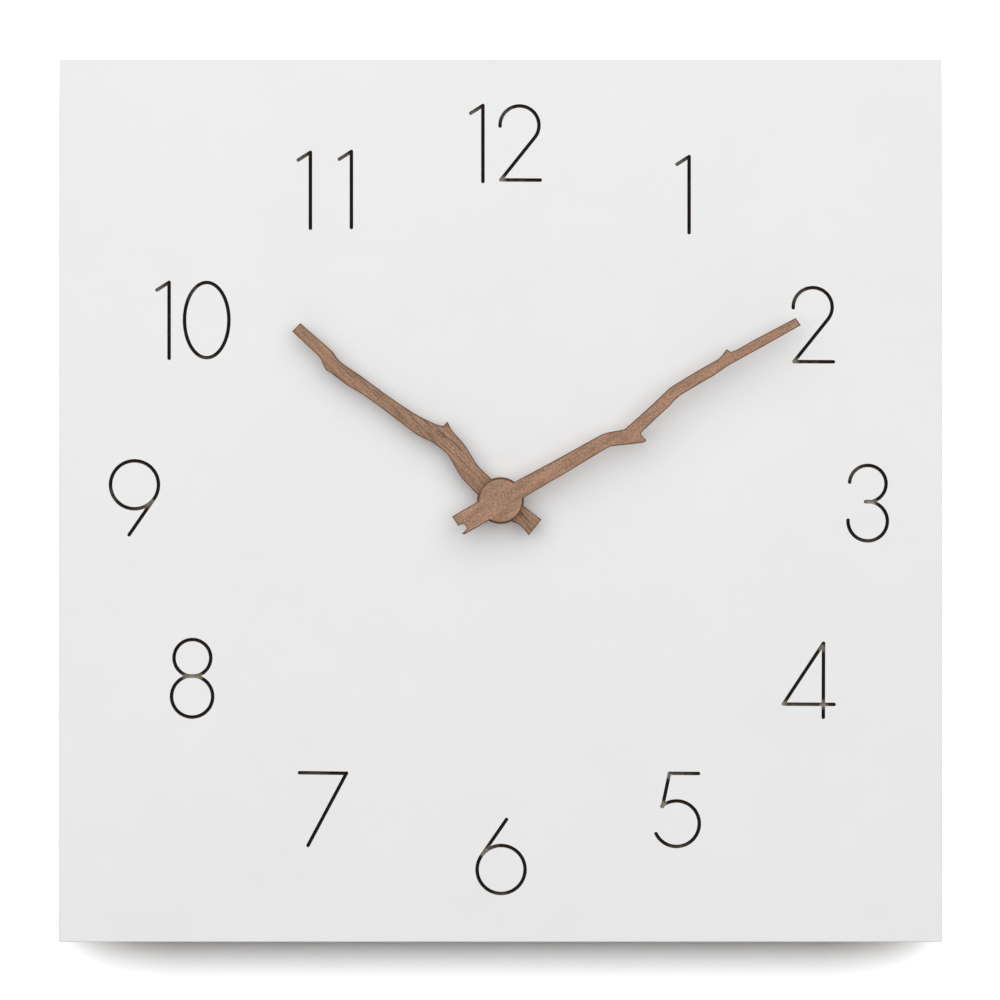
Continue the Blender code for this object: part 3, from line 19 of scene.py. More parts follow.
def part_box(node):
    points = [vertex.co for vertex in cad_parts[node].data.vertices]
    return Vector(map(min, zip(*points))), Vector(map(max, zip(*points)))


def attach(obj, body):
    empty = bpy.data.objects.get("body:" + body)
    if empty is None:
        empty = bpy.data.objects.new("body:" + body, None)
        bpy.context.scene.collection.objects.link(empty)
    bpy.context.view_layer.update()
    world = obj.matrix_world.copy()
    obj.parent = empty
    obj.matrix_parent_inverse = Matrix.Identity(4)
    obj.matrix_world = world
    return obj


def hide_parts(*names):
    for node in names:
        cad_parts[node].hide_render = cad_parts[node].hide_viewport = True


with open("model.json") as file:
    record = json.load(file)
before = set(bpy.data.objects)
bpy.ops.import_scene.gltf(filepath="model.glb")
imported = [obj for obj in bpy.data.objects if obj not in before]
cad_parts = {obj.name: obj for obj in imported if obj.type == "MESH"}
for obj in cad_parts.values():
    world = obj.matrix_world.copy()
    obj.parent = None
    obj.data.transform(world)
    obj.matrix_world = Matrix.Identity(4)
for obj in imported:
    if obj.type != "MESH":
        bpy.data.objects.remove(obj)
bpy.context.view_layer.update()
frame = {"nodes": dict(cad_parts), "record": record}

# %% [markdown]
# ## The measure of the photograph
#
# The board is a square of 300 mm and spans 883 pixels, so one pixel is 0.34 mm. The figures were read off the
# photograph in pixels, and it is clearest to leave them so and turn them into metres in one place. Pieces are
# drawn lying on their back, x to the right and y up the dial, and then stood up against the wall.

# %% The measure of the photograph
MM = 0.001
BOARD_LOW, BOARD_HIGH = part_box("dial_board")
BOARD_SIDE = BOARD_HIGH.x - BOARD_LOW.x
BOARD_PIXELS = 883
BOARD_CENTRE_PIXEL = (500.5, 500.5)
PIXEL = BOARD_SIDE / BOARD_PIXELS
STAND_UP = Matrix(((1, 0, 0, 0), (0, 0, -1, 0), (0, 1, 0, 0), (0, 0, 0, 1)))


def on_dial(across, down):
    """A pixel of the photograph as (right, up) in metres from the middle of the board."""
    return Vector(((across - BOARD_CENTRE_PIXEL[0]) * PIXEL, (BOARD_CENTRE_PIXEL[1] - down) * PIXEL, 0))


print("one pixel is", round(PIXEL / MM, 4), "mm")

# %% [markdown]
# ## Building materials from nodes
#
# Each finish is a small tree of nodes round one Principled shader. A helper that adds a node and sets its
# sockets keeps the recipes below short. All patterns read Object coordinates, which are metres here, so a
# noise of scale 1000 has spots of about a millimetre.

# %% Helpers for materials
def start_material(name, **sockets):
    """A new material. Returns it with its node tree and its Principled shader."""
    material = bpy.data.materials.new(name)
    material.use_nodes = True
    tree = material.node_tree
    shader = tree.nodes["Principled BSDF"]
    for socket, value in sockets.items():
        shader.inputs[socket.replace("_", " ")].default_value = value
    return material, tree, shader


def add_node(tree, kind, links=(), **values):
    """Adds a node, sets its sockets or options by name and links outputs to its sockets."""
    made = tree.nodes.new(kind)
    for name, value in values.items():
        socket = name.replace("_", " ")
        if socket in made.inputs:
            made.inputs[socket].default_value = value
        else:
            setattr(made, name, value)
    for socket, output in links:
        tree.links.new(output, made.inputs[socket])
    return made


def object_place(tree, stretch=(1, 1, 1)):
    """Object coordinates, stretched."""
    place = add_node(tree, "ShaderNodeTexCoord").outputs["Object"]
    return add_node(tree, "ShaderNodeMapping", [("Vector", place)], Scale=stretch).outputs["Vector"]


def grain_place(tree, direction, fleck, shift=(0, 0, 0)):
    """Object coordinates turned along the grain and measured in flecks: their length, depth and height."""
    place = add_node(tree, "ShaderNodeTexCoord").outputs["Object"]
    mapping = add_node(
        tree, "ShaderNodeMapping", [("Vector", place)],
        vector_type='TEXTURE', Rotation=(0, -direction, 0), Scale=fleck, Location=shift,
    )
    return mapping.outputs["Vector"]


def noise(tree, place, scale, detail=4.0, roughness=0.55):
    """A noise texture's value."""
    made = add_node(
        tree, "ShaderNodeTexNoise", [("Vector", place)], Scale=scale, Detail=detail, Roughness=roughness
    )
    return made.outputs["Fac"]


def ramp(tree, value, *stops):
    """A colour ramp. Each stop is a position and a colour or a grey."""
    made = add_node(tree, "ShaderNodeValToRGB", [("Fac", value)])
    steps = made.color_ramp.elements
    while len(steps) < len(stops):
        steps.new(0.5)
    for step, (position, colour) in zip(steps, stops):
        step.position = position
        step.color = (*colour, 1) if isinstance(colour, tuple) else (colour, colour, colour, 1)
    return made.outputs["Color"]


def blend_colour(tree, share, first, second, how='MIX'):
    """Mixes two colours. Either may be an output or a plain colour."""
    made = add_node(tree, "ShaderNodeMix", data_type='RGBA', blend_type=how, clamp_factor=True)
    colour_sockets = [socket for socket in made.inputs if socket.type == 'RGBA']
    for socket, value in zip(colour_sockets, (first, second)):
        if isinstance(value, tuple):
            socket.default_value = (*value, 1)
        else:
            tree.links.new(value, socket)
    if isinstance(share, float):
        made.inputs[0].default_value = share
    else:
        tree.links.new(share, made.inputs[0])
    return next(socket for socket in made.outputs if socket.type == 'RGBA')


def bump(tree, shader, height, distance, strength=1.0, before=None):
    """Raises the surface by a texture, in metres."""
    links = [("Height", height)]
    if before is not None:
        links.append(("Normal", before.outputs["Normal"]))
    made = add_node(tree, "ShaderNodeBump", links, Strength=strength, Distance=distance)
    tree.links.new(made.outputs["Normal"], shader.inputs["Normal"])
    return made


# %% [markdown]
# ## Painted fibreboard
#
# The board's face is sprayed in a matte pale grey. From close by, such paint has a fine eggshell surface
# and a trace of unevenness in its sheen. The colour itself is almost level, so nearly all of the finish is
# in the roughness and the bump. The back is left raw: pressed wood fibre, tan with darker and lighter hairs.

# %% The board's finishes
def painted_finish():
    """Matte pale grey paint with an eggshell surface."""
    material, tree, shader = start_material("pale grey paint", Roughness=0.62, Specular_IOR_Level=0.35)
    place = object_place(tree)
    cloud = noise(tree, place, 18, detail=2)
    tree.links.new(ramp(tree, cloud, (0.3, 0.735), (0.7, 0.75)), shader.inputs["Base Color"])
    sheen = noise(tree, place, 120, detail=3)
    tree.links.new(ramp(tree, sheen, (0.3, 0.56), (0.7, 0.68)), shader.inputs["Roughness"])
    coarse = bump(tree, shader, noise(tree, place, 700, detail=2), 0.00002, 0.35)
    bump(tree, shader, noise(tree, place, 2600, detail=1), 0.00001, 0.25, coarse)
    return material


def raw_fibre_finish():
    """Bare pressed fibreboard."""
    material, tree, shader = start_material("raw fibreboard", Roughness=0.88, Specular_IOR_Level=0.2)
    cloud = noise(tree, object_place(tree), 22, detail=3)
    fibre = ramp(tree, cloud, (0.3, (0.475, 0.335, 0.205)), (0.7, (0.515, 0.365, 0.225)))
    layer = None
    for turn in range(3):
        place = grain_place(tree, turn * math.pi / 3, (1.7 * MM, 0.5 * MM, 0.36 * MM), shift=(turn * 0.01, 0, 0))
        hairs = noise(tree, place, 1.0, detail=2)
        shade = ramp(tree, hairs, (0.30, 0.86), (0.48, 1.0), (0.56, 1.0), (0.76, 1.12))
        fibre = blend_colour(tree, 1.0, fibre, shade, 'MULTIPLY')
        layer = bump(tree, shader, hairs, 0.00003, 0.4, layer)
    tree.links.new(fibre, shader.inputs["Base Color"])
    return material


PAINT = painted_finish()
RAW_FIBRE = raw_fibre_finish()
print("board:", PAINT.name, "and", RAW_FIBRE.name)

# %% [markdown]
# ## Burnt grooves
#
# The figures are cut by a laser, which leaves a groove a little over a millimetre wide with scorched walls,
# almost black. Where two strokes cross or meet, the beam passes twice and leaves pale ash. The same pale
# colour is also painted light: faint spots where light from the upper left would catch a groove's lower wall,
# and a trace on every wall that faces up. The groove's mesh carries how much of it lies at each point in an
# attribute of its own, and the material mixes by it.

# %% The groove's finish
def burnt_finish():
    """Scorched fibre, with pale ash and painted light where the mesh says so."""
    material, tree, shader = start_material("burnt groove", Roughness=0.9, Specular_IOR_Level=0.1)
    place = object_place(tree)
    soot = ramp(tree, noise(tree, place, 900, detail=3), (0.3, (0.004, 0.002, 0.0015)), (0.75, (0.022, 0.012, 0.008)))
    ash_and_painted_light = ramp(tree, noise(tree, place, 1400, detail=3), (0.3, (0.17, 0.14, 0.11)), (0.7, (0.38, 0.34, 0.28)))
    # The pale colour is ash where strokes cross or meet, and painted light elsewhere, by the mesh's attribute.
    amount = add_node(tree, "ShaderNodeAttribute", attribute_name="ash_and_painted_light").outputs["Fac"]
    tree.links.new(blend_colour(tree, amount, soot, ash_and_painted_light), shader.inputs["Base Color"])
    bump(tree, shader, noise(tree, place, 2200, detail=3), 0.00004, 0.6)
    return material


BURNT = burnt_finish()
print("grooves:", BURNT.name)

# %% [markdown]
# ## The figures as strokes
#
# The figures are thin, even strokes, so each is written as its centre line: straight stretches and arcs. A
# digit is measured once, in pixels right and down from its own top left corner, and used wherever it
# occurs. Angles run counter-clockwise from the right, as on a protractor. The last entry of a digit
# lists its pale spots, each with how strong it is. The ones at crossings and joins are ash; the fainter ones
# elsewhere, along flags, top bars, bases and arcs, are painted light, where light from the upper left would
# catch a groove's lower wall.

# %% The figures
# Spots at crossings and joins are ash; the other, fainter spots are painted light from the upper left.
DIGITS = {
    "0": (
        [("arc", (22.2, 37.6), (22.2, 37.6), 0, 360)],
        [(4, 15.5, 0.12), (6.8, 10, 0.22), (10.5, 5.5, 0.2), (17, 74.2, 0.15), (22, 75.2, 0.2), (27, 74.2, 0.12)],
    ),
    "1": ([("line", (0, 7.7), (12.1, 0)), ("line", (12.1, 0), (12.1, 76))], [(0.4, 7.5, 0.5), (3.4, 5.6, 0.4), (6.6, 3.6, 0.3)]),
    "2": (
        [("arc", (19.5, 19.5), (19.5, 19.5), 182, -39), ("line", (34.6, 31.8), (0.8, 74)),
         ("line", (0.8, 74), (40.2, 74.2))],
        [(1.2, 73.8, 1), (0.7, 14.1, 0.12), (2.6, 9.8, 0.26), (5.7, 5.7, 0.3), (9.8, 2.6, 0.2), (12, 74, 0.1),
         (22, 74, 0.1)],
    ),
    "3": (
        [("arc", (19.8, 18.3), (18.3, 18.3), 175, -90), ("arc", (19.7, 55.8), (19.7, 19.7), 96, -183)],
        [(20.5, 36.4, 1), (24.5, 36.4, 1), (2.3, 13, 0.15), (4.6, 8.1, 0.28), (8.5, 4, 0.26), (12.9, 1.4, 0.12),
         (14, 74.5, 0.12), (20, 75.5, 0.2), (26, 74.5, 0.12)],
    ),
    "4": (
        [("line", (40.2, 0), (0, 60.9)), ("line", (0, 60.9), (50.7, 61.2)), ("line", (40.2, 0), (40, 74.1))],
        [(0.3, 60.9, 1), (40.1, 61.1, 1), (38.7, 4.8, 0.8), (10, 60.9, 0.25), (17, 60.9, 0.25), (24, 61, 0.25),
         (31, 61, 0.2)],
    ),
    "5": (
        [("line", (13.5, 0), (42.5, 0.2)), ("line", (13.5, 0), (6.5, 33.2)),
         ("arc", (20.5, 50.4), (22.8, 22.8), 130, -154)],
        [(7.2, 31.5, 1), (12.9, 2.4, 0.8), (20, 0, 0.25), (26, 0.1, 0.3), (32, 0.1, 0.2), (16, 72.7, 0.15),
         (24, 73, 0.25), (30, 71, 0.12)],
    ),
    "6": (
        [("line", (29.4, 0), (4.3, 36.3)), ("arc", (24, 50), (24, 24), 0, 360)],
        [(9.5, 31.3, 0.8), (6.4, 33.9, 0.8), (14, 28.2, 0.25), (19, 26.6, 0.15), (20, 73.6, 0.15), (26, 73.9, 0.2)],
    ),
    "7": ([("line", (0, 0), (47, 0.6)), ("line", (47, 0.4), (8.5, 72.8))], [(5, 0, 0.1), (12, 0.1, 0.2), (19, 0.2, 0.2), (26, 0.3, 0.1)]),
    "8": (
        [("arc", (20.9, 18.4), (18.4, 18.4), 0, 360), ("arc", (20.6, 57), (20.6, 20.6), 0, 360)],
        [(20.8, 36.6, 1), (15, 36.9, 0.9), (27, 36.9, 0.9)],
    ),
    "9": (
        [("arc", (24, 24), (24, 24), 0, 360), ("line", (43.7, 37.7), (18.6, 74))],
        [(37, 43.2, 0.8), (40.5, 41.2, 0.7), (1.2, 31, 0.15), (4, 37, 0.2), (24, 48, 0.12), (30, 46.5, 0.2)],
    ),
}
# Each digit on the dial, with the pixel of its top left corner
DIGITS_ON_DIAL = (
    ("1", 470.8, 105.5), ("2", 500.0, 105.9),
    ("1", 677.0, 156.6),
    ("2", 793.2, 287.6),
    ("3", 848.0, 465.4),
    ("4", 783.3, 643.2),
    ("5", 656.0, 773.3),
    ("6", 477.1, 819.5),
    ("7", 299.5, 772.7),
    ("8", 171.5, 639.5),
    ("9", 110.5, 460.8),
    ("1", 157.0, 282.3), ("0", 184.5, 282.5),
    ("1", 298.3, 152.3), ("1", 339.3, 151.5),
)
GROOVE_RADIUS = 0.62 * MM
GROOVE_LIFT = 0.12 * MM
GROOVE_SIDES = 14
ARC_STEP = 1.0 * MM
PALE_SPOT_REACH = 1.6 * MM
# Painted light from above: how much paler a groove wall that faces straight up is made.
PAINTED_TOP_LIGHT_SHARE = 0.12
print("digits on the dial:", len(DIGITS_ON_DIAL))

# %% [markdown]
# ## A round-nosed cutter along a stroke
#
# To engrave a stroke, a round bar is laid along it and taken away from the board. The bar is one ring of
# points, extruded from place to place along the centre line. Bevelling the edge of its flat ends by almost
# its own radius turns them into the half balls that a round beam leaves.

# %% Cutters for the strokes
def stroke_path(stroke, corner):
    """The centre line of a stroke, as points on the dial, and whether it closes."""
    if stroke[0] == "line":
        ends = [on_dial(corner[0] + x, corner[1] + y) for x, y in stroke[1:]]
        ahead = (ends[1] - ends[0]).normalized() * GROOVE_RADIUS
        first, last = ends[0] - ahead, ends[1] + ahead
        steps = max(1, round((last - first).length / ARC_STEP))
        return [first.lerp(last, step / steps) for step in range(steps + 1)], False
    (x, y), (wide, high), start, end = stroke[1:]
    closed = abs(end - start) == 360
    length = math.radians(abs(end - start)) * (wide + high) / 2 * PIXEL
    steps = max(2, round(length / ARC_STEP))
    reach = 0 if closed else math.copysign(math.degrees(GROOVE_RADIUS / (wide * PIXEL)), end - start)
    points = []
    for step in range(steps + (0 if closed else 1)):
        angle = math.radians(start - reach + (end - start + 2 * reach) * step / steps)
        points.append(on_dial(corner[0] + x + wide * math.cos(angle), corner[1] + y - high * math.sin(angle)))
    return points, closed


def ring_frame(before, point, after):
    """Where the ring stands at a point: its plane is square to the path."""
    ahead = (after - before).normalized()
    across = Vector((-ahead.y, ahead.x, 0))
    rows = [(across[axis], float(axis == 2), ahead[axis], point[axis]) for axis in range(3)]
    return Matrix((*rows, (0, 0, 0, 1)))


def sweep(points, closed, radius, sides):
    """A round bar along the points, lying on its back like the dial."""
    count = len(points)
    shape = bmesh.new()
    ring = bmesh.ops.create_circle(shape, cap_ends=False, segments=sides, radius=radius)["verts"]
    edges = list(shape.edges)
    stand = Matrix.Identity(4)
    for step in range(count + 1 if closed else count):
        if closed:
            around = (points[step % count - 1], points[step % count], points[(step + 1) % count])
        else:
            around = (points[max(step - 1, 0)], points[step], points[min(step + 1, count - 1)])
        place = ring_frame(*around)
        if step:
            grown = bmesh.ops.extrude_edge_only(shape, edges=edges)["geom"]
            ring = [item for item in grown if isinstance(item, bmesh.types.BMVert)]
            edges = [item for item in grown if isinstance(item, bmesh.types.BMEdge)]
        bmesh.ops.transform(shape, matrix=place @ stand.inverted(), verts=ring)
        stand = place
    if closed:
        bmesh.ops.remove_doubles(shape, verts=shape.verts, dist=radius / 100)
    else:
        rims = [edge for edge in shape.edges if edge.is_boundary]
        bmesh.ops.holes_fill(shape, edges=rims, sides=sides)
        bmesh.ops.bevel(
            shape, geom=rims, offset=radius * 0.92, segments=4, profile=0.5, affect='EDGES', material=-1
        )
    bmesh.ops.recalc_face_normals(shape, faces=shape.faces)
    return shape


test = sweep(*stroke_path(DIGITS["2"][0][0], (0, 0)), GROOVE_RADIUS, GROOVE_SIDES)
print("one arc's cutter has", len(test.faces), "faces")
test.free()

# %% [markdown]
# ## Making, cutting and placing pieces
#
# A finished piece is an object at the origin whose mesh holds its place, so it lines up with the solid that
# it stands for. Cutting is done by Boolean modifiers that are baked into the mesh at once. Edges that turn
# sharply are marked sharp and the rest is shaded smooth. A Weighted Normal modifier then lets the large flat
# faces stay flat in their shading, right up to the small bevels round them.

# %% Helpers for pieces
SHARP_ANGLE = math.radians(32)
HAIR = 0.001 * MM


def add_piece(name, shape, *materials):
    """An object at the origin that takes over the bmesh."""
    mesh = bpy.data.meshes.new(name)
    shape.to_mesh(mesh)
    shape.free()
    for material in materials:
        mesh.materials.append(material)
    mesh.shade_smooth()
    mesh.set_sharp_from_angle(angle=SHARP_ANGLE)
    piece = bpy.data.objects.new(name, mesh)
    bpy.context.collection.objects.link(piece)
    return piece


def cut(piece, shapes, operation='DIFFERENCE'):
    """Takes the shapes away from the piece, or joins them to it."""
    tools = []
    for shape in shapes:
        tool = add_piece("cutter", shape)
        step = piece.modifiers.new("cut", 'BOOLEAN')
        step.operation = operation
        step.solver = 'MANIFOLD'
        step.object = tool
        tools.append(tool)
    evaluated = piece.evaluated_get(bpy.context.evaluated_depsgraph_get())
    mesh = bpy.data.meshes.new_from_object(evaluated)
    piece.modifiers.clear()
    old, piece.data = piece.data, mesh
    bpy.data.meshes.remove(old)
    mesh.name = piece.name
    for tool in tools:
        bpy.data.objects.remove(tool)
    mesh.set_sharp_from_angle(angle=SHARP_ANGLE)


def copy_of_node(name):
    """A node's solid as a bmesh with its loose triangles joined into whole faces."""
    shape = bmesh.new()
    shape.from_mesh(frame["nodes"][name].data)
    bmesh.ops.remove_doubles(shape, verts=shape.verts, dist=HAIR)
    bmesh.ops.dissolve_limit(
        shape, angle_limit=math.radians(0.4), verts=shape.verts, edges=shape.edges, use_dissolve_boundaries=False
    )
    return shape


def stand_for(piece, node, body):
    """The piece replaces a node and moves with the node's body. Large faces set the shading of their rims."""
    weigh = piece.modifiers.new("weigh", 'WEIGHTED_NORMAL')
    weigh.keep_sharp = True
    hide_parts(node)
    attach(piece, body)
    print(piece.name, "stands for", node, "with", len(piece.data.polygons), "faces")


# %% [markdown]
# ## The engraved board
#
# The board is a plain slab with its sharp edges just broken, a hole for the movement's bushing and the
# figures cut into its face. A bevel of 0.4 mm is enough to catch the light along the edges. After the cutting
# each face gets its material by where it lies: in a groove, on the raw back, or on the painted outside.

# %% The engraved board
BOARD_BREAK = 0.4 * MM
HOLE_SIDES = 48
BUSHING_PLAY = 0.4 * MM
BOARD_FACE = BOARD_LOW.y
BOARD_BACK = BOARD_HIGH.y


def board_slab():
    """The slab, lying on its back between its two levels."""
    shape = bmesh.new()
    bmesh.ops.create_cube(shape, size=1)
    middle = (BOARD_FACE + BOARD_BACK) / 2
    size = (BOARD_SIDE, BOARD_SIDE, BOARD_BACK - BOARD_FACE)
    bmesh.ops.scale(shape, vec=size, verts=shape.verts)
    bmesh.ops.bevel(
        shape, geom=shape.edges, offset=BOARD_BREAK, segments=3, profile=0.5, affect='EDGES', material=-1
    )
    bmesh.ops.translate(shape, vec=(0, 0, -middle), verts=shape.verts)
    bmesh.ops.transform(shape, matrix=STAND_UP, verts=shape.verts)
    return shape


def round_bar(radius, low, high, centre=(0.0, 0.0), sides=HOLE_SIDES):
    """A round bar between two levels out from the wall, stood up."""
    shape = bmesh.new()
    bmesh.ops.create_cone(
        shape, cap_ends=True, segments=sides, radius1=radius, radius2=radius, depth=high - low
    )
    bmesh.ops.translate(shape, vec=(centre[0], centre[1], (low + high) / 2), verts=shape.verts)
    bmesh.ops.transform(shape, matrix=STAND_UP, verts=shape.verts)
    return shape


def digit_cutters():
    """A cutter for each stroke on the dial, at the depth of the grooves."""
    cutters = []
    for digit, left, top in DIGITS_ON_DIAL:
        for stroke in DIGITS[digit][0]:
            shape = sweep(*stroke_path(stroke, (left, top)), GROOVE_RADIUS, GROOVE_SIDES)
            bmesh.ops.translate(shape, vec=(0, 0, GROOVE_LIFT - BOARD_FACE), verts=shape.verts)
            bmesh.ops.transform(shape, matrix=STAND_UP, verts=shape.verts)
            cutters.append(shape)
    return cutters


def share_materials_on_board(mesh):
    """Burnt in the grooves, raw behind and in the hole, painted elsewhere."""
    bushing_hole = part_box("threaded_bushing")[1].x + 2 * MM
    inside = BOARD_SIDE / 2 - 2 * BOARD_BREAK
    for face in mesh.polygons:
        x, y, z = face.center
        if abs(x) < bushing_hole and abs(z) < bushing_hole and abs(face.normal.y) < 0.5:
            face.material_index = 1
        elif y > BOARD_BACK - HAIR:
            face.material_index = 1
        elif y > BOARD_FACE + HAIR and max(abs(x), abs(z)) < inside:
            face.material_index = 2


def spread_ash_and_painted_light(mesh):
    """Writes how much ash and painted light lies at each point of the board's mesh."""
    spots = []
    for digit, left, top in DIGITS_ON_DIAL:
        for x, y, share in DIGITS[digit][1]:
            spots.append((STAND_UP @ (on_dial(left + x, top + y) - Vector((0, 0, BOARD_FACE))), share))
    amounts = mesh.attributes.new("ash_and_painted_light", 'FLOAT', 'POINT')
    for point, amount in zip(mesh.vertices, amounts.data):
        ash_and_painted_light = max(share * (1 - ((point.co - spot).length / PALE_SPOT_REACH) ** 2) for spot, share in spots)
        # Painted light from above: groove walls that face up are made paler.
        painted_top_light = PAINTED_TOP_LIGHT_SHARE * max(0.0, point.normal.z)
        amount.value = min(1.0, max(0.0, ash_and_painted_light) + painted_top_light)


board = add_piece("engraved_board", board_slab(), PAINT, RAW_FIBRE, BURNT)
bushing_radius = 4 * MM
hole = round_bar(bushing_radius + BUSHING_PLAY, -BOARD_BACK - MM, -BOARD_FACE + MM)
cut(board, [hole, *digit_cutters()])
share_materials_on_board(board.data)
spread_ash_and_painted_light(board.data)
stand_for(board, "dial_board", "case")

# %% [markdown]
# ## Walnut
#
# The hands are unvarnished walnut, light brown with a grey cast. Its grain is made of noise whose flecks are
# some ten times longer than wide: broad bands first, then fine streaks, then short dark pores. The Mapping
# node of type Texture turns the coordinates before it stretches them, so the flecks lie along the hand. A
# last layer darkens the rim, where the laser has scorched it, by an attribute that the mesh carries.

# %% Walnut
def walnut_finish(name, direction, pale, dark, streaks, streak_length, pores, bands, veins=0.0, pinks=1.09):
    """Bare walnut with its grain along a direction on the dial, in radians from the right."""
    material, tree, shader = start_material(name, Roughness=0.72, Specular_IOR_Level=0.25)
    wide = grain_place(tree, direction, (14 * MM, 3 * MM, 2.2 * MM))
    along = grain_place(tree, direction, (streak_length, 1 * MM, 0.62 * MM), shift=(0.01, 0, 0.02))
    fine = grain_place(tree, direction + math.radians(9), (1.0 * MM, 0.4 * MM, 0.27 * MM))
    spots = grain_place(tree, direction, (1.5 * MM, 0.7 * MM, 0.5 * MM), shift=(0.02, 0.01, 0))
    broad = ramp(tree, noise(tree, wide, 1.0, detail=3), (0.5 - bands, dark), (0.5 + bands, pale))
    lines = noise(tree, along, 1.0, detail=4, roughness=0.6)
    streak = ramp(tree, lines, (0.30, 1 - streaks), (0.50, 1.0), (0.72, 1.0 + streaks / 2))
    wood = blend_colour(tree, 1.0, broad, streak, 'MULTIPLY')
    hairs = noise(tree, fine, 1.0, detail=3, roughness=0.7)
    hair = ramp(tree, hairs, (0.34, (0.52, 0.52, 0.51)), (0.5, (0.97, 0.97, 0.97)), (0.66, (1.44, 1.42, 1.40)))
    wood = blend_colour(tree, 1.0, wood, hair, 'MULTIPLY')
    flecks = noise(tree, spots, 1.0, detail=2)
    warm = ramp(tree, flecks, (0.40, (0.96, 1.0, 0.98)), (0.66, (pinks, 0.97, 0.93)))
    wood = blend_colour(tree, 1.0, wood, warm, 'MULTIPLY')
    pore = ramp(tree, flecks, (0.24, 1.0), (0.33, 0.0))
    wood = blend_colour(tree, blend_share(tree, pore, pores), wood, (0.09, 0.05, 0.03))
    cracks = grain_place(tree, direction, (16 * MM, 0.9 * MM, 0.55 * MM), shift=(0.03, 0, 0.01))
    vein = ramp(tree, noise(tree, cracks, 1.0, detail=2, roughness=0.4), (0.29, 1.0), (0.34, 0.0))
    wood = blend_colour(tree, blend_share(tree, vein, veins), wood, (0.075, 0.042, 0.026))
    rim = add_node(tree, "ShaderNodeAttribute", attribute_name="scorch").outputs["Fac"]
    scorch = ramp(tree, rim, (0.05, 0.0), (0.5, 0.75), (0.9, 1.0))
    wood = blend_colour(tree, scorch, wood, (0.100, 0.038, 0.018))
    tree.links.new(wood, shader.inputs["Base Color"])
    first = bump(tree, shader, lines, 0.00003, 0.5)
    bump(tree, shader, hairs, 0.00002, 0.5, first)
    return material


def blend_share(tree, value, share):
    """A share of a value."""
    made = add_node(tree, "ShaderNodeMath", operation='MULTIPLY')
    tree.links.new(value, made.inputs[0])
    made.inputs[1].default_value = share
    return made.outputs["Value"]


MINUTE_DIRECTION = math.radians(31.0)
HOUR_DIRECTION = math.radians(139.7)
MINUTE_WOOD = walnut_finish(
    "walnut of the minute hand", MINUTE_DIRECTION + math.radians(3),
    pale=(0.365, 0.218, 0.144), dark=(0.275, 0.170, 0.114), streaks=0.30, streak_length=5 * MM, pores=0.8, bands=0.22,
)
HOUR_WOOD = walnut_finish(
    "walnut of the hour hand", HOUR_DIRECTION - math.radians(6),
    pale=(0.338, 0.204, 0.134), dark=(0.235, 0.147, 0.097), streaks=0.55, streak_length=9 * MM, pores=0.6, bands=0.16, veins=0.9,
)
print("hands:", MINUTE_WOOD.name, "and", HOUR_WOOD.name)

# %% [markdown]
# ## The hands
#
# Each hand is a twig's outline cut from 1.8 mm walnut. The solid has the right outline already, so its mesh
# is copied and only the edges are worked on: the front is inset by a third of a millimetre, and the scorch
# is full at the rim and nothing inside the inset, which draws the fine dark line that the beam leaves. The
# hour hand has a hair-thin split by its knot, which a fine round bar cuts along a line of pixels. The split's
# walls take the near-black groove finish, as painted shade for the dark of the crack.

# %% The hands
RIM_BREAK = 0.08 * MM
SCORCH_WIDTH = 0.36 * MM
SPLIT_RADIUS = 0.10 * MM
HOUR_SPLIT = (
    (443.3, 432.8), (445.2, 436.2), (448.5, 438.3), (451.7, 440.6), (455.0, 443.8), (458.3, 447.2), (462.0, 451.0),
)
BURR_ANGLE = math.radians(140)
BURR_LENGTH = 1.0 * MM


def lay_burrs_down(shape):
    """Where the outline doubles back on itself, its two turning points are laid along its way again."""
    moves = {}
    for face in shape.faces:
        if abs(face.normal.y) < 0.99:
            continue
        for loop in face.loops:
            run = [loop.link_loop_prev.vert, loop.vert, loop.link_loop_next.vert, loop.link_loop_next.link_loop_next.vert]
            steps = [second.co - first.co for first, second in zip(run, run[1:])]
            turns = [first.angle(second) for first, second in zip(steps, steps[1:])]
            if min(turns) > BURR_ANGLE and steps[1].length < BURR_LENGTH:
                for share, point in ((1 / 3, run[1]), (2 / 3, run[2])):
                    moves[point] = run[0].co.lerp(run[3].co, share)
    for point, place in moves.items():
        point.co = place
    return len(moves)


def scorched_hand(name, node, wood):
    """A copy of a hand's solid, with broken edges and a scorched rim."""
    shape = copy_of_node(node)
    print(name, "points of burrs laid down:", lay_burrs_down(shape))
    scorch = shape.verts.layers.float.new("scorch")
    for point in shape.verts:
        point[scorch] = 1.0
    front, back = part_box(node)[0].y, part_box(node)[1].y
    for level, inward in ((front, RIM_BREAK), (back, -RIM_BREAK)):
        flat = [face for face in shape.faces if all(abs(v.co.y - level) < HAIR for v in face.verts)]
        bmesh.ops.inset_region(shape, faces=flat, thickness=RIM_BREAK, use_even_offset=True)
        inner = {point for face in flat for point in face.verts}
        rim = [point for point in shape.verts if abs(point.co.y - level) < HAIR and point not in inner]
        bmesh.ops.translate(shape, vec=(0, inward, 0), verts=rim)
        bmesh.ops.inset_region(shape, faces=flat, thickness=SCORCH_WIDTH, use_even_offset=True)
        for point in {point for face in flat for point in face.verts}:
            point[scorch] = 0.0
    hand = add_piece(name, shape, wood, BURNT)
    print(name, "with", len(hand.data.polygons), "faces")
    return hand


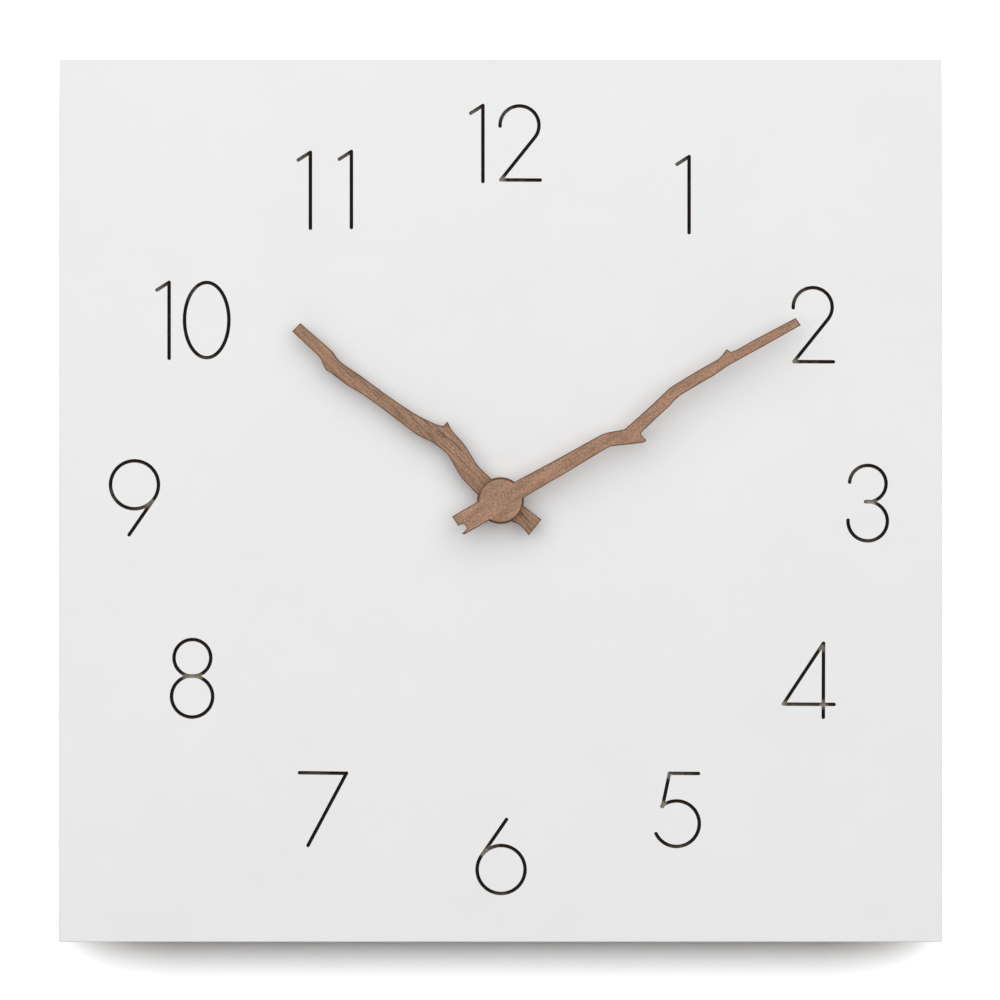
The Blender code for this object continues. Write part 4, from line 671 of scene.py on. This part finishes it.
def split_wood(hand, pixels):
    """A fine split in a hand's front, along pixels of the photograph."""
    front = min(point.co.y for point in hand.data.vertices)
    points = [on_dial(*pixel) for pixel in pixels]
    shape = sweep(points, False, SPLIT_RADIUS, 8)
    bmesh.ops.translate(shape, vec=(0, 0, -front), verts=shape.verts)
    bmesh.ops.transform(shape, matrix=STAND_UP, verts=shape.verts)
    cut(hand, [shape])
    spots = [STAND_UP @ (point - Vector((0, 0, front))) for point in points]
    # Painted shade: the split's walls take the near-black groove finish.
    for face in hand.data.polygons:
        near = min((face.center - spot).length for spot in spots) < 4.5 * PIXEL
        if near and front + HAIR < face.center.y < front + 1.1 * SPLIT_RADIUS:
            face.material_index = 1


minute_hand = scorched_hand("minute_hand_of_walnut", "minute_hand", MINUTE_WOOD)
hour_hand = scorched_hand("hour_hand_of_walnut", "hour_hand", HOUR_WOOD)
split_wood(hour_hand, HOUR_SPLIT)
stand_for(minute_hand, "minute_hand", "minute")
stand_for(hour_hand, "hour_hand", "hour")

# %% [markdown]
# ## Metals and plastics
#
# The small metal parts differ in colour and in how they were worked: turned brass has fine rings, plated
# sheet is faintly cloudy, strip and wire are drawn. The mouldings have the fine sparkle of an eroded
# steel mould. Two recipes with a few settings cover them all.

# %% Metals and plastics
def metal_finish(name, colour, roughness, cloud=60, grain=(900, 900, 900), depth=0.000003):
    """A bare or plated metal with a worked surface."""
    material, tree, shader = start_material(name, Metallic=1.0)
    place = object_place(tree)
    tint = ramp(
        tree, noise(tree, place, cloud, detail=3),
        (0.3, tuple(part * 0.86 for part in colour)), (0.7, colour),
    )
    tree.links.new(tint, shader.inputs["Base Color"])
    worked = noise(tree, object_place(tree, grain), 1.0, detail=3)
    tree.links.new(ramp(tree, worked, (0.3, roughness * 0.9), (0.7, roughness * 1.12)), shader.inputs["Roughness"])
    bump(tree, shader, worked, depth, 0.3)
    return material


def moulded_finish(name, colour, roughness, sparkle=2200, depth=0.000012, spread=0.12):
    """Moulded plastic or rubber with a fine texture."""
    material, tree, shader = start_material(name, Specular_IOR_Level=0.45)
    place = object_place(tree)
    tint = ramp(
        tree, noise(tree, place, 90, detail=3),
        (0.3, tuple(part * (1 - spread) for part in colour)), (0.7, tuple(part * (1 + spread) for part in colour)),
    )
    tree.links.new(tint, shader.inputs["Base Color"])
    worn = noise(tree, place, 240, detail=4)
    tree.links.new(ramp(tree, worn, (0.3, roughness * 0.85), (0.7, roughness * 1.15)), shader.inputs["Roughness"])
    bump(tree, shader, noise(tree, place, sparkle, detail=2), depth, 0.7)
    return material


BRASS = metal_finish("turned brass", (0.78, 0.57, 0.27), 0.26, grain=(500, 4000, 500))
BRIGHT_STEEL = metal_finish("bright steel", (0.66, 0.66, 0.65), 0.22, grain=(500, 4000, 500))
ZINC = metal_finish("zinc-plated sheet", (0.66, 0.68, 0.70), 0.38, cloud=140, grain=(300, 2500, 2000), depth=0.0000006)
NICKEL = metal_finish("nickel-plated strip", (0.72, 0.70, 0.65), 0.26, grain=(3000, 300, 3000))
IRON = metal_finish("stamped iron", (0.40, 0.40, 0.41), 0.42, cloud=200)
MAGNET = metal_finish("sintered magnet", (0.22, 0.22, 0.24), 0.5, cloud=500, grain=(3000, 3000, 3000))
COPPER = metal_finish("wound copper wire", (0.78, 0.36, 0.17), 0.32, grain=(9000, 300, 300), depth=0.00003)
RUBBER = moulded_finish("rubber", (0.028, 0.028, 0.028), 0.82, sparkle=1200, depth=0.00003)
RESIN = moulded_finish("cast resin", (0.015, 0.015, 0.016), 0.30, sparkle=300)
BLACK_PLASTIC = moulded_finish("black moulding", (0.034, 0.034, 0.036), 0.46, sparkle=2600, depth=0.00002)
KNOB_PLASTIC = moulded_finish("knob moulding", (0.050, 0.050, 0.052), 0.36, sparkle=1500)
WHITE_PLASTIC = moulded_finish("white acetal", (0.78, 0.77, 0.72), 0.42, spread=0.03)
BLUE_PLASTIC = moulded_finish("blue moulding", (0.05, 0.14, 0.42), 0.42)
CIRCUIT_GREEN = moulded_finish("green laminate", (0.03, 0.18, 0.07), 0.38, sparkle=700)
print("metals and plastics:", len(bpy.data.materials), "materials in all")

# %% [markdown]
# ## The moulded back
#
# The case and its cover are injection mouldings: no edge is quite sharp, and what the user has to know is
# sunk into the cover. Arrows round the knob say that the hands may be set either way, and a plus and a minus
# say how the cell lies. The solids are copied, their outer edges are broken with a bevel, and the signs are
# cut by the same round bars as the figures of the dial. Small discs mark where pins push a moulding out.

# %% Helpers for mouldings
def soften(shape, width, wanted, segments=2):
    """Breaks the sharp outward edges that are wanted."""
    edges = [
        edge for edge in shape.edges
        if edge.is_manifold and edge.is_convex and edge.calc_face_angle() > SHARP_ANGLE and wanted(edge)
    ]
    bmesh.ops.bevel(
        shape, geom=edges, offset=width, segments=segments, profile=0.5, affect='EDGES', clamp_overlap=True,
        material=-1,
    )
    return len(edges)


def sunk_line(points, radius, level):
    """A round bar along points given as (right, up) on the back, half sunk at a level out from the wall."""
    shape = sweep([Vector((x, z, 0)) for x, z in points], False, radius, 10)
    bmesh.ops.translate(shape, vec=(0, 0, level), verts=shape.verts)
    bmesh.ops.transform(shape, matrix=STAND_UP, verts=shape.verts)
    return shape


def arc_points(centre, radius, start, end, steps=24):
    """Points along an arc, in degrees counter-clockwise from the right."""
    angles = [math.radians(start + (end - start) * step / steps) for step in range(steps + 1)]
    return [(centre[0] + radius * math.cos(a), centre[1] + radius * math.sin(a)) for a in angles]


KNOB_LOW, KNOB_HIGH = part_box("setting_knob")
KNOB_CENTRE = ((KNOB_LOW.x + KNOB_HIGH.x) / 2, (KNOB_LOW.z + KNOB_HIGH.z) / 2)
KNOB_RADIUS = (KNOB_HIGH.x - KNOB_LOW.x) / 2
print("knob of radius", round(KNOB_RADIUS / MM, 2), "mm")

# %% The cover with its signs
SIGN_RADIUS = 0.32 * MM
ARROW_RADIUS = KNOB_RADIUS + 2.3 * MM
ARROW_ENDS = (28, 152)
ARROW_HEAD = 2.1 * MM
MARK_HALF = 1.3 * MM
PIN_MARK_RADIUS = 1.6 * MM
PIN_MARK_DEPTH = 0.14 * MM


def setting_arrows():
    """An arc over the knob with a head at each end."""
    lines = [sunk_line(arc_points(KNOB_CENTRE, ARROW_RADIUS, *ARROW_ENDS), SIGN_RADIUS, 0)]
    for angle, onward in zip(ARROW_ENDS, (-1, 1)):
        tip = Vector(arc_points(KNOB_CENTRE, ARROW_RADIUS, angle, angle, 1)[0])
        back = Vector((-math.sin(math.radians(angle)), math.cos(math.radians(angle)))) * -onward
        for side in (-1, 1):
            turned = Matrix.Rotation(math.radians(38) * side, 2) @ back
            lines.append(sunk_line([tip, tip + turned * ARROW_HEAD], SIGN_RADIUS, 0))
    return lines


def polarity_marks(low, high):
    """A plus over the cell's nub and a minus over its flat end."""
    height = low.z + 2.6 * MM
    lines = []
    for place in (low.x + 4.2 * MM, high.x - 4.2 * MM):
        lines.append(sunk_line([(place - MARK_HALF, height), (place + MARK_HALF, height)], SIGN_RADIUS, 0))
    plus = low.x + 4.2 * MM
    for side in (-1, 1):
        ends = [(plus, height + side * SIGN_RADIUS), (plus, height + side * MARK_HALF)]
        lines.append(sunk_line(ends, SIGN_RADIUS, 0))
    return lines


def pin_marks(places, level, depth):
    """Shallow discs, sunk from a level."""
    return [round_bar(PIN_MARK_RADIUS, level - depth, level + depth, place, 32) for place in places]


def moulded_cover():
    """The rear cover with broken edges, signs and pin marks."""
    low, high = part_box("rear_cover")
    shape = copy_of_node("rear_cover")
    count = soften(shape, 0.22 * MM, lambda edge: all(abs(v.co.y) < HAIR for v in edge.verts))
    cover = add_piece("moulded_rear_cover", shape, BLACK_PLASTIC)
    corners = [(low.x + 4 * MM, high.z - 4 * MM), (high.x - 4 * MM, high.z - 4 * MM), (low.x + 4 * MM, 0.0)]
    cut(cover, setting_arrows() + polarity_marks(low, high) + pin_marks(corners, 0, PIN_MARK_DEPTH))
    stand_for(cover, "rear_cover", "case")
    print("softened edges on the cover:", count)


moulded_cover()

# %% The case
def moulded_case():
    """The front case with its outer edges broken."""
    low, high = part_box("front_case")
    shape = copy_of_node("front_case")

    def at_outer_rim(edge):
        ends = [v.co for v in edge.verts]
        flat = all(abs(c.y - low.y) < HAIR for c in ends) or all(abs(c.y - high.y) < HAIR for c in ends)
        outer = all(
            abs(c.x) > high.x - 4 * MM or c.z > high.z - 4 * MM or c.z < low.z + 4 * MM for c in ends
        )
        edge_of_box = all(
            min(high.x - abs(c.x), high.z - c.z, c.z - low.z) < 1.1 * MM
            or math.hypot(high.x - abs(c.x), min(high.z - c.z, c.z - low.z)) < 3 * MM for c in ends
        )
        return flat and outer and edge_of_box

    count = soften(shape, 0.30 * MM, at_outer_rim)
    case = add_piece("moulded_front_case", shape, BLACK_PLASTIC)
    stand_for(case, "front_case", "case")
    print("softened edges on the case:", count)


moulded_case()

# %% The setting knob
DISH_RADIUS = KNOB_RADIUS - 1.5 * MM
DISH_DEPTH = 0.50 * MM
GRIP_HALF = 0.75 * MM


def half_dish(side):
    """Half of the knob's dish, beside the grip bar."""
    back = -KNOB_HIGH.y
    shape = round_bar(DISH_RADIUS, back - MM, back + DISH_DEPTH, KNOB_CENTRE, 64)
    bottom = [
        edge for edge in shape.edges if all(abs(v.co.y + back + DISH_DEPTH) < HAIR for v in edge.verts)
    ]
    bmesh.ops.bevel(
        shape, geom=bottom, offset=0.35 * MM, segments=4, profile=0.5, affect='EDGES', material=-1
    )
    everything = [*shape.verts, *shape.edges, *shape.faces]
    made = bmesh.ops.bisect_plane(
        shape, geom=everything, plane_co=(KNOB_CENTRE[0] + side * GRIP_HALF, 0, 0), plane_no=(side, 0, 0),
        clear_inner=True,
    )
    bmesh.ops.holes_fill(shape, edges=[e for e in shape.edges if e.is_boundary], sides=0)
    bmesh.ops.recalc_face_normals(shape, faces=shape.faces)
    return shape


def dished_knob():
    """The knob with a soft scalloped rim and a dish with a bar to grip."""
    shape = copy_of_node("setting_knob")
    rim = KNOB_HIGH.y - HAIR
    soften(shape, 0.22 * MM, lambda edge: all(v.co.y > rim for v in edge.verts))
    knob = add_piece("dished_setting_knob", shape, KNOB_PLASTIC)
    cut(knob, [half_dish(-1), half_dish(1)])
    stand_for(knob, "setting_knob", "setting")


dished_knob()

# %% [markdown]
# ## The cell
#
# A dry cell is a steel can in a printed sleeve. The sleeve is drawn over both rims of the can, so it ends in
# a soft shoulder, and the steel shows inside: a raised nub on the plus side and a flat disc on the other. One
# half profile, spun about the long axis, gives all of it. The print is plain bands and the two signs,
# placed by the object's own x and z.

# %% The sleeve's finish
CELL_LOW, CELL_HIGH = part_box("battery")
CELL_HEIGHT = (CELL_LOW.z + CELL_HIGH.z) / 2
CELL_LEVEL = -(CELL_LOW.y + CELL_HIGH.y) / 2
CELL_RADIUS = (CELL_HIGH.z - CELL_LOW.z) / 2
CELL_HALF = (CELL_HIGH.x - CELL_LOW.x) / 2


def bar_mask(tree, place, centre, half_wide, half_high):
    """One inside a rectangle round a point of x and z, zero outside."""
    parts = add_node(tree, "ShaderNodeSeparateXYZ", [("Vector", place)])
    inside = []
    for axis, middle, half in (("X", centre[0], half_wide), ("Z", centre[1], half_high)):
        away = add_node(tree, "ShaderNodeMath", operation='SUBTRACT')
        tree.links.new(parts.outputs[axis], away.inputs[0])
        away.inputs[1].default_value = middle
        size = add_node(tree, "ShaderNodeMath", operation='ABSOLUTE')
        tree.links.new(away.outputs["Value"], size.inputs[0])
        within = add_node(tree, "ShaderNodeMath", operation='LESS_THAN')
        tree.links.new(size.outputs["Value"], within.inputs[0])
        within.inputs[1].default_value = half
        inside.append(within.outputs["Value"])
    both = add_node(tree, "ShaderNodeMath", operation='MULTIPLY')
    tree.links.new(inside[0], both.inputs[0])
    tree.links.new(inside[1], both.inputs[1])
    return both.outputs["Value"]


def sleeve_finish():
    """Printed shrink film: a green body, a grey plus end and the two signs."""
    material, tree, shader = start_material("cell sleeve", Roughness=0.24, Specular_IOR_Level=0.5)
    place = object_place(tree)
    green = ramp(tree, noise(tree, place, 60, detail=2), (0.3, (0.015, 0.115, 0.060)), (0.7, (0.020, 0.135, 0.072)))
    whole = 2 * CELL_RADIUS
    grey_end = CELL_LOW.x + 13 * MM
    colour = blend_colour(
        tree, bar_mask(tree, place, (CELL_LOW.x, CELL_HEIGHT), 13 * MM, whole), green, (0.42, 0.43, 0.44)
    )
    for band, colour_of_band in ((0.9 * MM, (0.72, 0.72, 0.70)), (2.6 * MM, (0.72, 0.72, 0.70))):
        mask = bar_mask(tree, place, (grey_end + band, CELL_HEIGHT), 0.35 * MM, whole)
        colour = blend_colour(tree, mask, colour, colour_of_band)
    signs = (
        ((CELL_LOW.x + 7 * MM, CELL_HEIGHT), 1.5 * MM, 0.35 * MM),
        ((CELL_LOW.x + 7 * MM, CELL_HEIGHT), 0.35 * MM, 1.5 * MM),
        ((CELL_HIGH.x - 6 * MM, CELL_HEIGHT), 0.35 * MM, 1.5 * MM),
    )
    for (centre, half_wide, half_high), ink in zip(signs, ((0.02,) * 3, (0.02,) * 3, (0.75,) * 3)):
        colour = blend_colour(tree, bar_mask(tree, place, centre, half_wide, half_high), colour, ink)
    tree.links.new(colour, shader.inputs["Base Color"])
    worn = noise(tree, place, 160, detail=3)
    tree.links.new(ramp(tree, worn, (0.3, 0.20), (0.7, 0.32)), shader.inputs["Roughness"])
    bump(tree, shader, noise(tree, place, 260, detail=2), 0.00003, 0.25)
    return material


SLEEVE = sleeve_finish()
print("cell:", round(2 * CELL_HALF / MM, 2), "x", round(2 * CELL_RADIUS / MM, 2), "mm")

# %% The cell
def dry_cell():
    """The cell, spun from its half profile."""
    nub = 2.75 * MM
    film = 0.12 * MM
    lip = CELL_RADIUS - 1.1 * MM
    nub_end = MM
    profile = [
        (0, 0), (nub - 0.35 * MM, 0), (nub - 0.1 * MM, 0.1 * MM), (nub, 0.35 * MM), (nub, nub_end),
        (nub + 1.2 * MM, nub_end + 0.15 * MM), (lip - 0.6 * MM, nub_end + 0.30 * MM),
        (lip, nub_end + 0.22 * MM), (lip, nub_end + 0.05 * MM), (lip + 0.35 * MM, nub_end),
        (CELL_RADIUS - 0.3 * MM, nub_end + 0.18 * MM), (CELL_RADIUS, nub_end + 0.75 * MM),
        (CELL_RADIUS, 2 * CELL_HALF - 0.75 * MM), (CELL_RADIUS - 0.3 * MM, 2 * CELL_HALF - 0.22 * MM),
        (lip + 0.35 * MM, 2 * CELL_HALF - 0.05 * MM), (lip, 2 * CELL_HALF - 0.12 * MM),
        (lip - 0.05 * MM, 2 * CELL_HALF - film), (lip - 0.9 * MM, 2 * CELL_HALF),
        (0, 2 * CELL_HALF),
    ]
    shape = bmesh.new()
    points = [shape.verts.new((CELL_LOW.x + along, 0, radius)) for radius, along in profile]
    edges = [shape.edges.new(pair) for pair in zip(points, points[1:])]
    bmesh.ops.spin(
        shape, geom=points + edges, cent=(0, 0, 0), axis=(1, 0, 0), dvec=(0, 0, 0), angle=2 * math.pi,
        steps=72, use_merge=True, use_duplicate=False,
    )
    bmesh.ops.remove_doubles(shape, verts=shape.verts, dist=HAIR)
    bmesh.ops.recalc_face_normals(shape, faces=shape.faces)
    bmesh.ops.translate(shape, vec=(0, -CELL_LEVEL, CELL_HEIGHT), verts=shape.verts)
    cell = add_piece("sleeved_cell", shape, SLEEVE, BRIGHT_STEEL)
    for face in cell.data.polygons:
        x, y, z = face.center
        if math.hypot(y + CELL_LEVEL, z - CELL_HEIGHT) < lip:
            face.material_index = 1
    stand_for(cell, "battery", "cell")


dry_cell()

# %% [markdown]
# ## Pressed and turned metal
#
# A press leaves a small rounding along one edge of sheet steel, and a nut is chamfered so that its corners
# don't cut the hand. The hanger's edges are bevelled, and the nut is the overlap of its hexagon with a cone.

# %% The hanger and the nut
def pressed_hanger():
    """The hanger plate with its edges rounded by the press."""
    shape = copy_of_node("hanger_plate")
    count = soften(shape, 0.14 * MM, lambda edge: edge.calc_length() > 0.2 * MM)
    stand_for(add_piece("pressed_hanger_plate", shape, ZINC), "hanger_plate", "case")
    print("softened edges on the hanger:", count)


def chamfered_nut():
    """The fixing nut with the corners of its front turned off."""
    low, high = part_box("fixing_nut")
    corner = (high.x - low.x) / 2
    nut = add_piece("chamfered_fixing_nut", copy_of_node("fixing_nut"), BRASS)
    cone = bmesh.new()
    bmesh.ops.create_cone(
        cone, cap_ends=True, segments=HOLE_SIDES, radius1=corner + 2.2 * MM, radius2=corner - 0.75 * MM,
        depth=high.y - low.y + 2 * HAIR,
    )
    bmesh.ops.translate(cone, vec=(0, 0, -(low.y + high.y) / 2), verts=cone.verts)
    bmesh.ops.transform(cone, matrix=STAND_UP, verts=cone.verts)
    cut(nut, [cone], 'INTERSECT')
    stand_for(nut, "fixing_nut", "case")


pressed_hanger()
chamfered_nut()

# %% [markdown]
# ## Finishes on the solids that stay
#
# Most of the small parts have the right shape already. Their nodes keep their meshes, and each takes the
# material of its slot in the record. A table from slot to finish does this in one loop.

# %% Finishes on the solids that stay
FINISH_OF_SLOT = {
    "board_paint": PAINT,
    "walnut": MINUTE_WOOD,
    "brass": BRASS,
    "bright_steel": BRIGHT_STEEL,
    "zinc_steel": ZINC,
    "nickel_strip": NICKEL,
    "soft_iron": IRON,
    "magnet": MAGNET,
    "copper": COPPER,
    "rubber": RUBBER,
    "black_resin": RESIN,
    "battery_sleeve": SLEEVE,
    "circuit_green": CIRCUIT_GREEN,
    "black_plastic": BLACK_PLASTIC,
    "white_plastic": WHITE_PLASTIC,
    "blue_plastic": BLUE_PLASTIC,
}
for part in frame["record"]["subparts"]:
    solid = frame["nodes"][part["node"]]
    for material_slot in solid.material_slots:
        material_slot.material = FINISH_OF_SLOT[part["material_slot"]]

# %% [markdown]
# ## The stage
#
# The clock hangs on a white wall above a pale floor. The wall is lit so strongly that it stays white to the
# rim of the picture, and the board's shadow shows only below. What it throws back on the clock is held down,
# or the edges of the board would burn out. The wall lets rays from behind pass, so that the clock's back can
# be looked at while it hangs.

# %% The stage
WALL_SIZE = 4.0
FLOOR_DROP = 1.4
FLOOR_SIZE = 3.2
WALL_WHITE = 0.93
WALL_BOUNCE = 0.28


def wall_finish():
    """White wall paint that is see-through from behind."""
    material, tree, shader = start_material("white wall", Roughness=0.9, Specular_IOR_Level=0.0)
    clear = add_node(tree, "ShaderNodeBsdfTransparent")
    behind = add_node(tree, "ShaderNodeNewGeometry").outputs["Backfacing"]
    path = add_node(tree, "ShaderNodeLightPath")
    bounced = ramp(tree, path.outputs["Is Diffuse Ray"], (0.0, WALL_WHITE), (1.0, WALL_BOUNCE))
    tree.links.new(bounced, shader.inputs["Base Color"])
    first = add_node(tree, "ShaderNodeMath", operation='LESS_THAN')
    tree.links.new(path.outputs["Diffuse Depth"], first.inputs[0])
    first.inputs[1].default_value = 0.5
    lit = add_node(tree, "ShaderNodeMath", operation='MULTIPLY')
    tree.links.new(path.outputs["Is Shadow Ray"], lit.inputs[0])
    tree.links.new(first.outputs["Value"], lit.inputs[1])
    either = add_node(tree, "ShaderNodeMath", operation='MAXIMUM')
    tree.links.new(behind, either.inputs[0])
    tree.links.new(lit.outputs["Value"], either.inputs[1])
    seen = add_node(tree, "ShaderNodeMixShader", [("Fac", either.outputs["Value"])])
    tree.links.new(shader.outputs["BSDF"], seen.inputs[1])
    tree.links.new(clear.outputs["BSDF"], seen.inputs[2])
    tree.links.new(seen.outputs["Shader"], tree.nodes["Material Output"].inputs["Surface"])
    return material


def flat_sheet(name, size, matrix, material):
    """A square sheet of the stage."""
    shape = bmesh.new()
    bmesh.ops.create_grid(shape, x_segments=1, y_segments=1, size=size / 2)
    bmesh.ops.transform(shape, matrix=matrix, verts=shape.verts)
    sheet = add_piece(name, shape, material)
    return sheet


FLOOR_PAINT, floor_tree, floor_shader = start_material("pale floor", Roughness=0.85)
floor_shader.inputs["Base Color"].default_value = (0.82, 0.82, 0.82, 1)
WALL = flat_sheet("wall", WALL_SIZE, STAND_UP, wall_finish())
flat_sheet("floor", FLOOR_SIZE, Matrix.Translation((0, 0, -FLOOR_DROP)), FLOOR_PAINT)
print("wall at the clock's back, floor", FLOOR_DROP, "m below its middle")

# %% [markdown]
# ## Light and camera
#
# The photograph was taken square on, from far enough away that no side of the board shows. A long lens at
# 1.7 m does the same. Two lights do the work. A large soft box in front, above, lights the clock so evenly
# that the thin hands cast hardly a shadow. The wall has a light of its own, wide and strong: it is above the
# board, so the shadow falls below, and so wide that light from either side reaches under the board's ends.
# Light linking keeps the two apart. Two more boxes behind serve only the views of the back.

# %% Light and camera
LENS = 180.0
SENSOR = 36.0
PICTURE_PIXELS = 1000
AIR_LIGHT = 0.08
AIR_SEEN = 0.80


def soft_box(name, place, target, wide, high, power):
    """A rectangular area light aimed at a point."""
    light = bpy.data.lights.new(name, 'AREA')
    light.shape = 'RECTANGLE'
    light.size = wide
    light.size_y = high
    light.energy = power
    lamp = bpy.data.objects.new(name, light)
    lamp.location = place
    lamp.rotation_euler = (Vector(target) - Vector(place)).to_track_quat('-Z', 'Y').to_euler()
    bpy.context.collection.objects.link(lamp)
    return lamp


def link_to_wall(lamp, state):
    """The lamp lights only the wall (INCLUDE), or everything but the wall (EXCLUDE)."""
    receivers = bpy.data.collections.new(lamp.name + " receivers")
    receivers.objects.link(WALL)
    receivers.collection_objects[0].light_linking.link_state = state
    lamp.light_linking.receiver_collection = receivers


link_to_wall(soft_box("soft box", (-0.07, -1.5, 0.75), (-0.02, 0, 0.2), 4.4, 3.2, 74), 'EXCLUDE')
link_to_wall(soft_box("wall light", (0, -1.6, 1.66), (0, 0, 1.66), 7.0, 3.50, 335), 'INCLUDE')
soft_box("back left", (0.9, 1.5, 0.55), (0, 0, 0), 0.9, 0.9, 20)
soft_box("back right", (-1.0, 1.2, 0.3), (0, 0, 0), 0.7, 0.7, 10)

world = bpy.data.worlds.new("studio")
world.use_nodes = True
air = world.node_tree
air.nodes["Background"].inputs["Color"].default_value = (1, 1, 1, 1)
air.nodes["Background"].inputs["Strength"].default_value = AIR_LIGHT
pale_air = add_node(air, "ShaderNodeBackground", Color=(1, 1, 1, 1), Strength=AIR_SEEN)
ray = add_node(air, "ShaderNodeLightPath")
seen_or_mirrored = add_node(air, "ShaderNodeMath", operation='MAXIMUM')
air.links.new(ray.outputs["Is Camera Ray"], seen_or_mirrored.inputs[0])
air.links.new(ray.outputs["Is Glossy Ray"], seen_or_mirrored.inputs[1])
both_airs = add_node(air, "ShaderNodeMixShader", [("Fac", seen_or_mirrored.outputs["Value"])])
air.links.new(air.nodes["Background"].outputs["Background"], both_airs.inputs[1])
air.links.new(pale_air.outputs["Background"], both_airs.inputs[2])
air.links.new(both_airs.outputs["Shader"], air.nodes["World Output"].inputs["Surface"])
bpy.context.scene.world = world
bpy.context.scene.view_settings.view_transform = 'Standard'

view = bpy.data.cameras.new("camera")
view.lens = LENS
view.sensor_width = SENSOR
camera = bpy.data.objects.new("camera", view)
distance = PICTURE_PIXELS * PIXEL * LENS / SENSOR
off_centre = PICTURE_PIXELS / 2 - BOARD_CENTRE_PIXEL[0]
camera.location = (off_centre * PIXEL, BOARD_FACE - distance, -off_centre * PIXEL)
camera.rotation_euler = (math.pi / 2, 0, 0)
bpy.context.collection.objects.link(camera)
bpy.context.scene.camera = camera
print("camera", round(distance, 3), "m in front of the board")
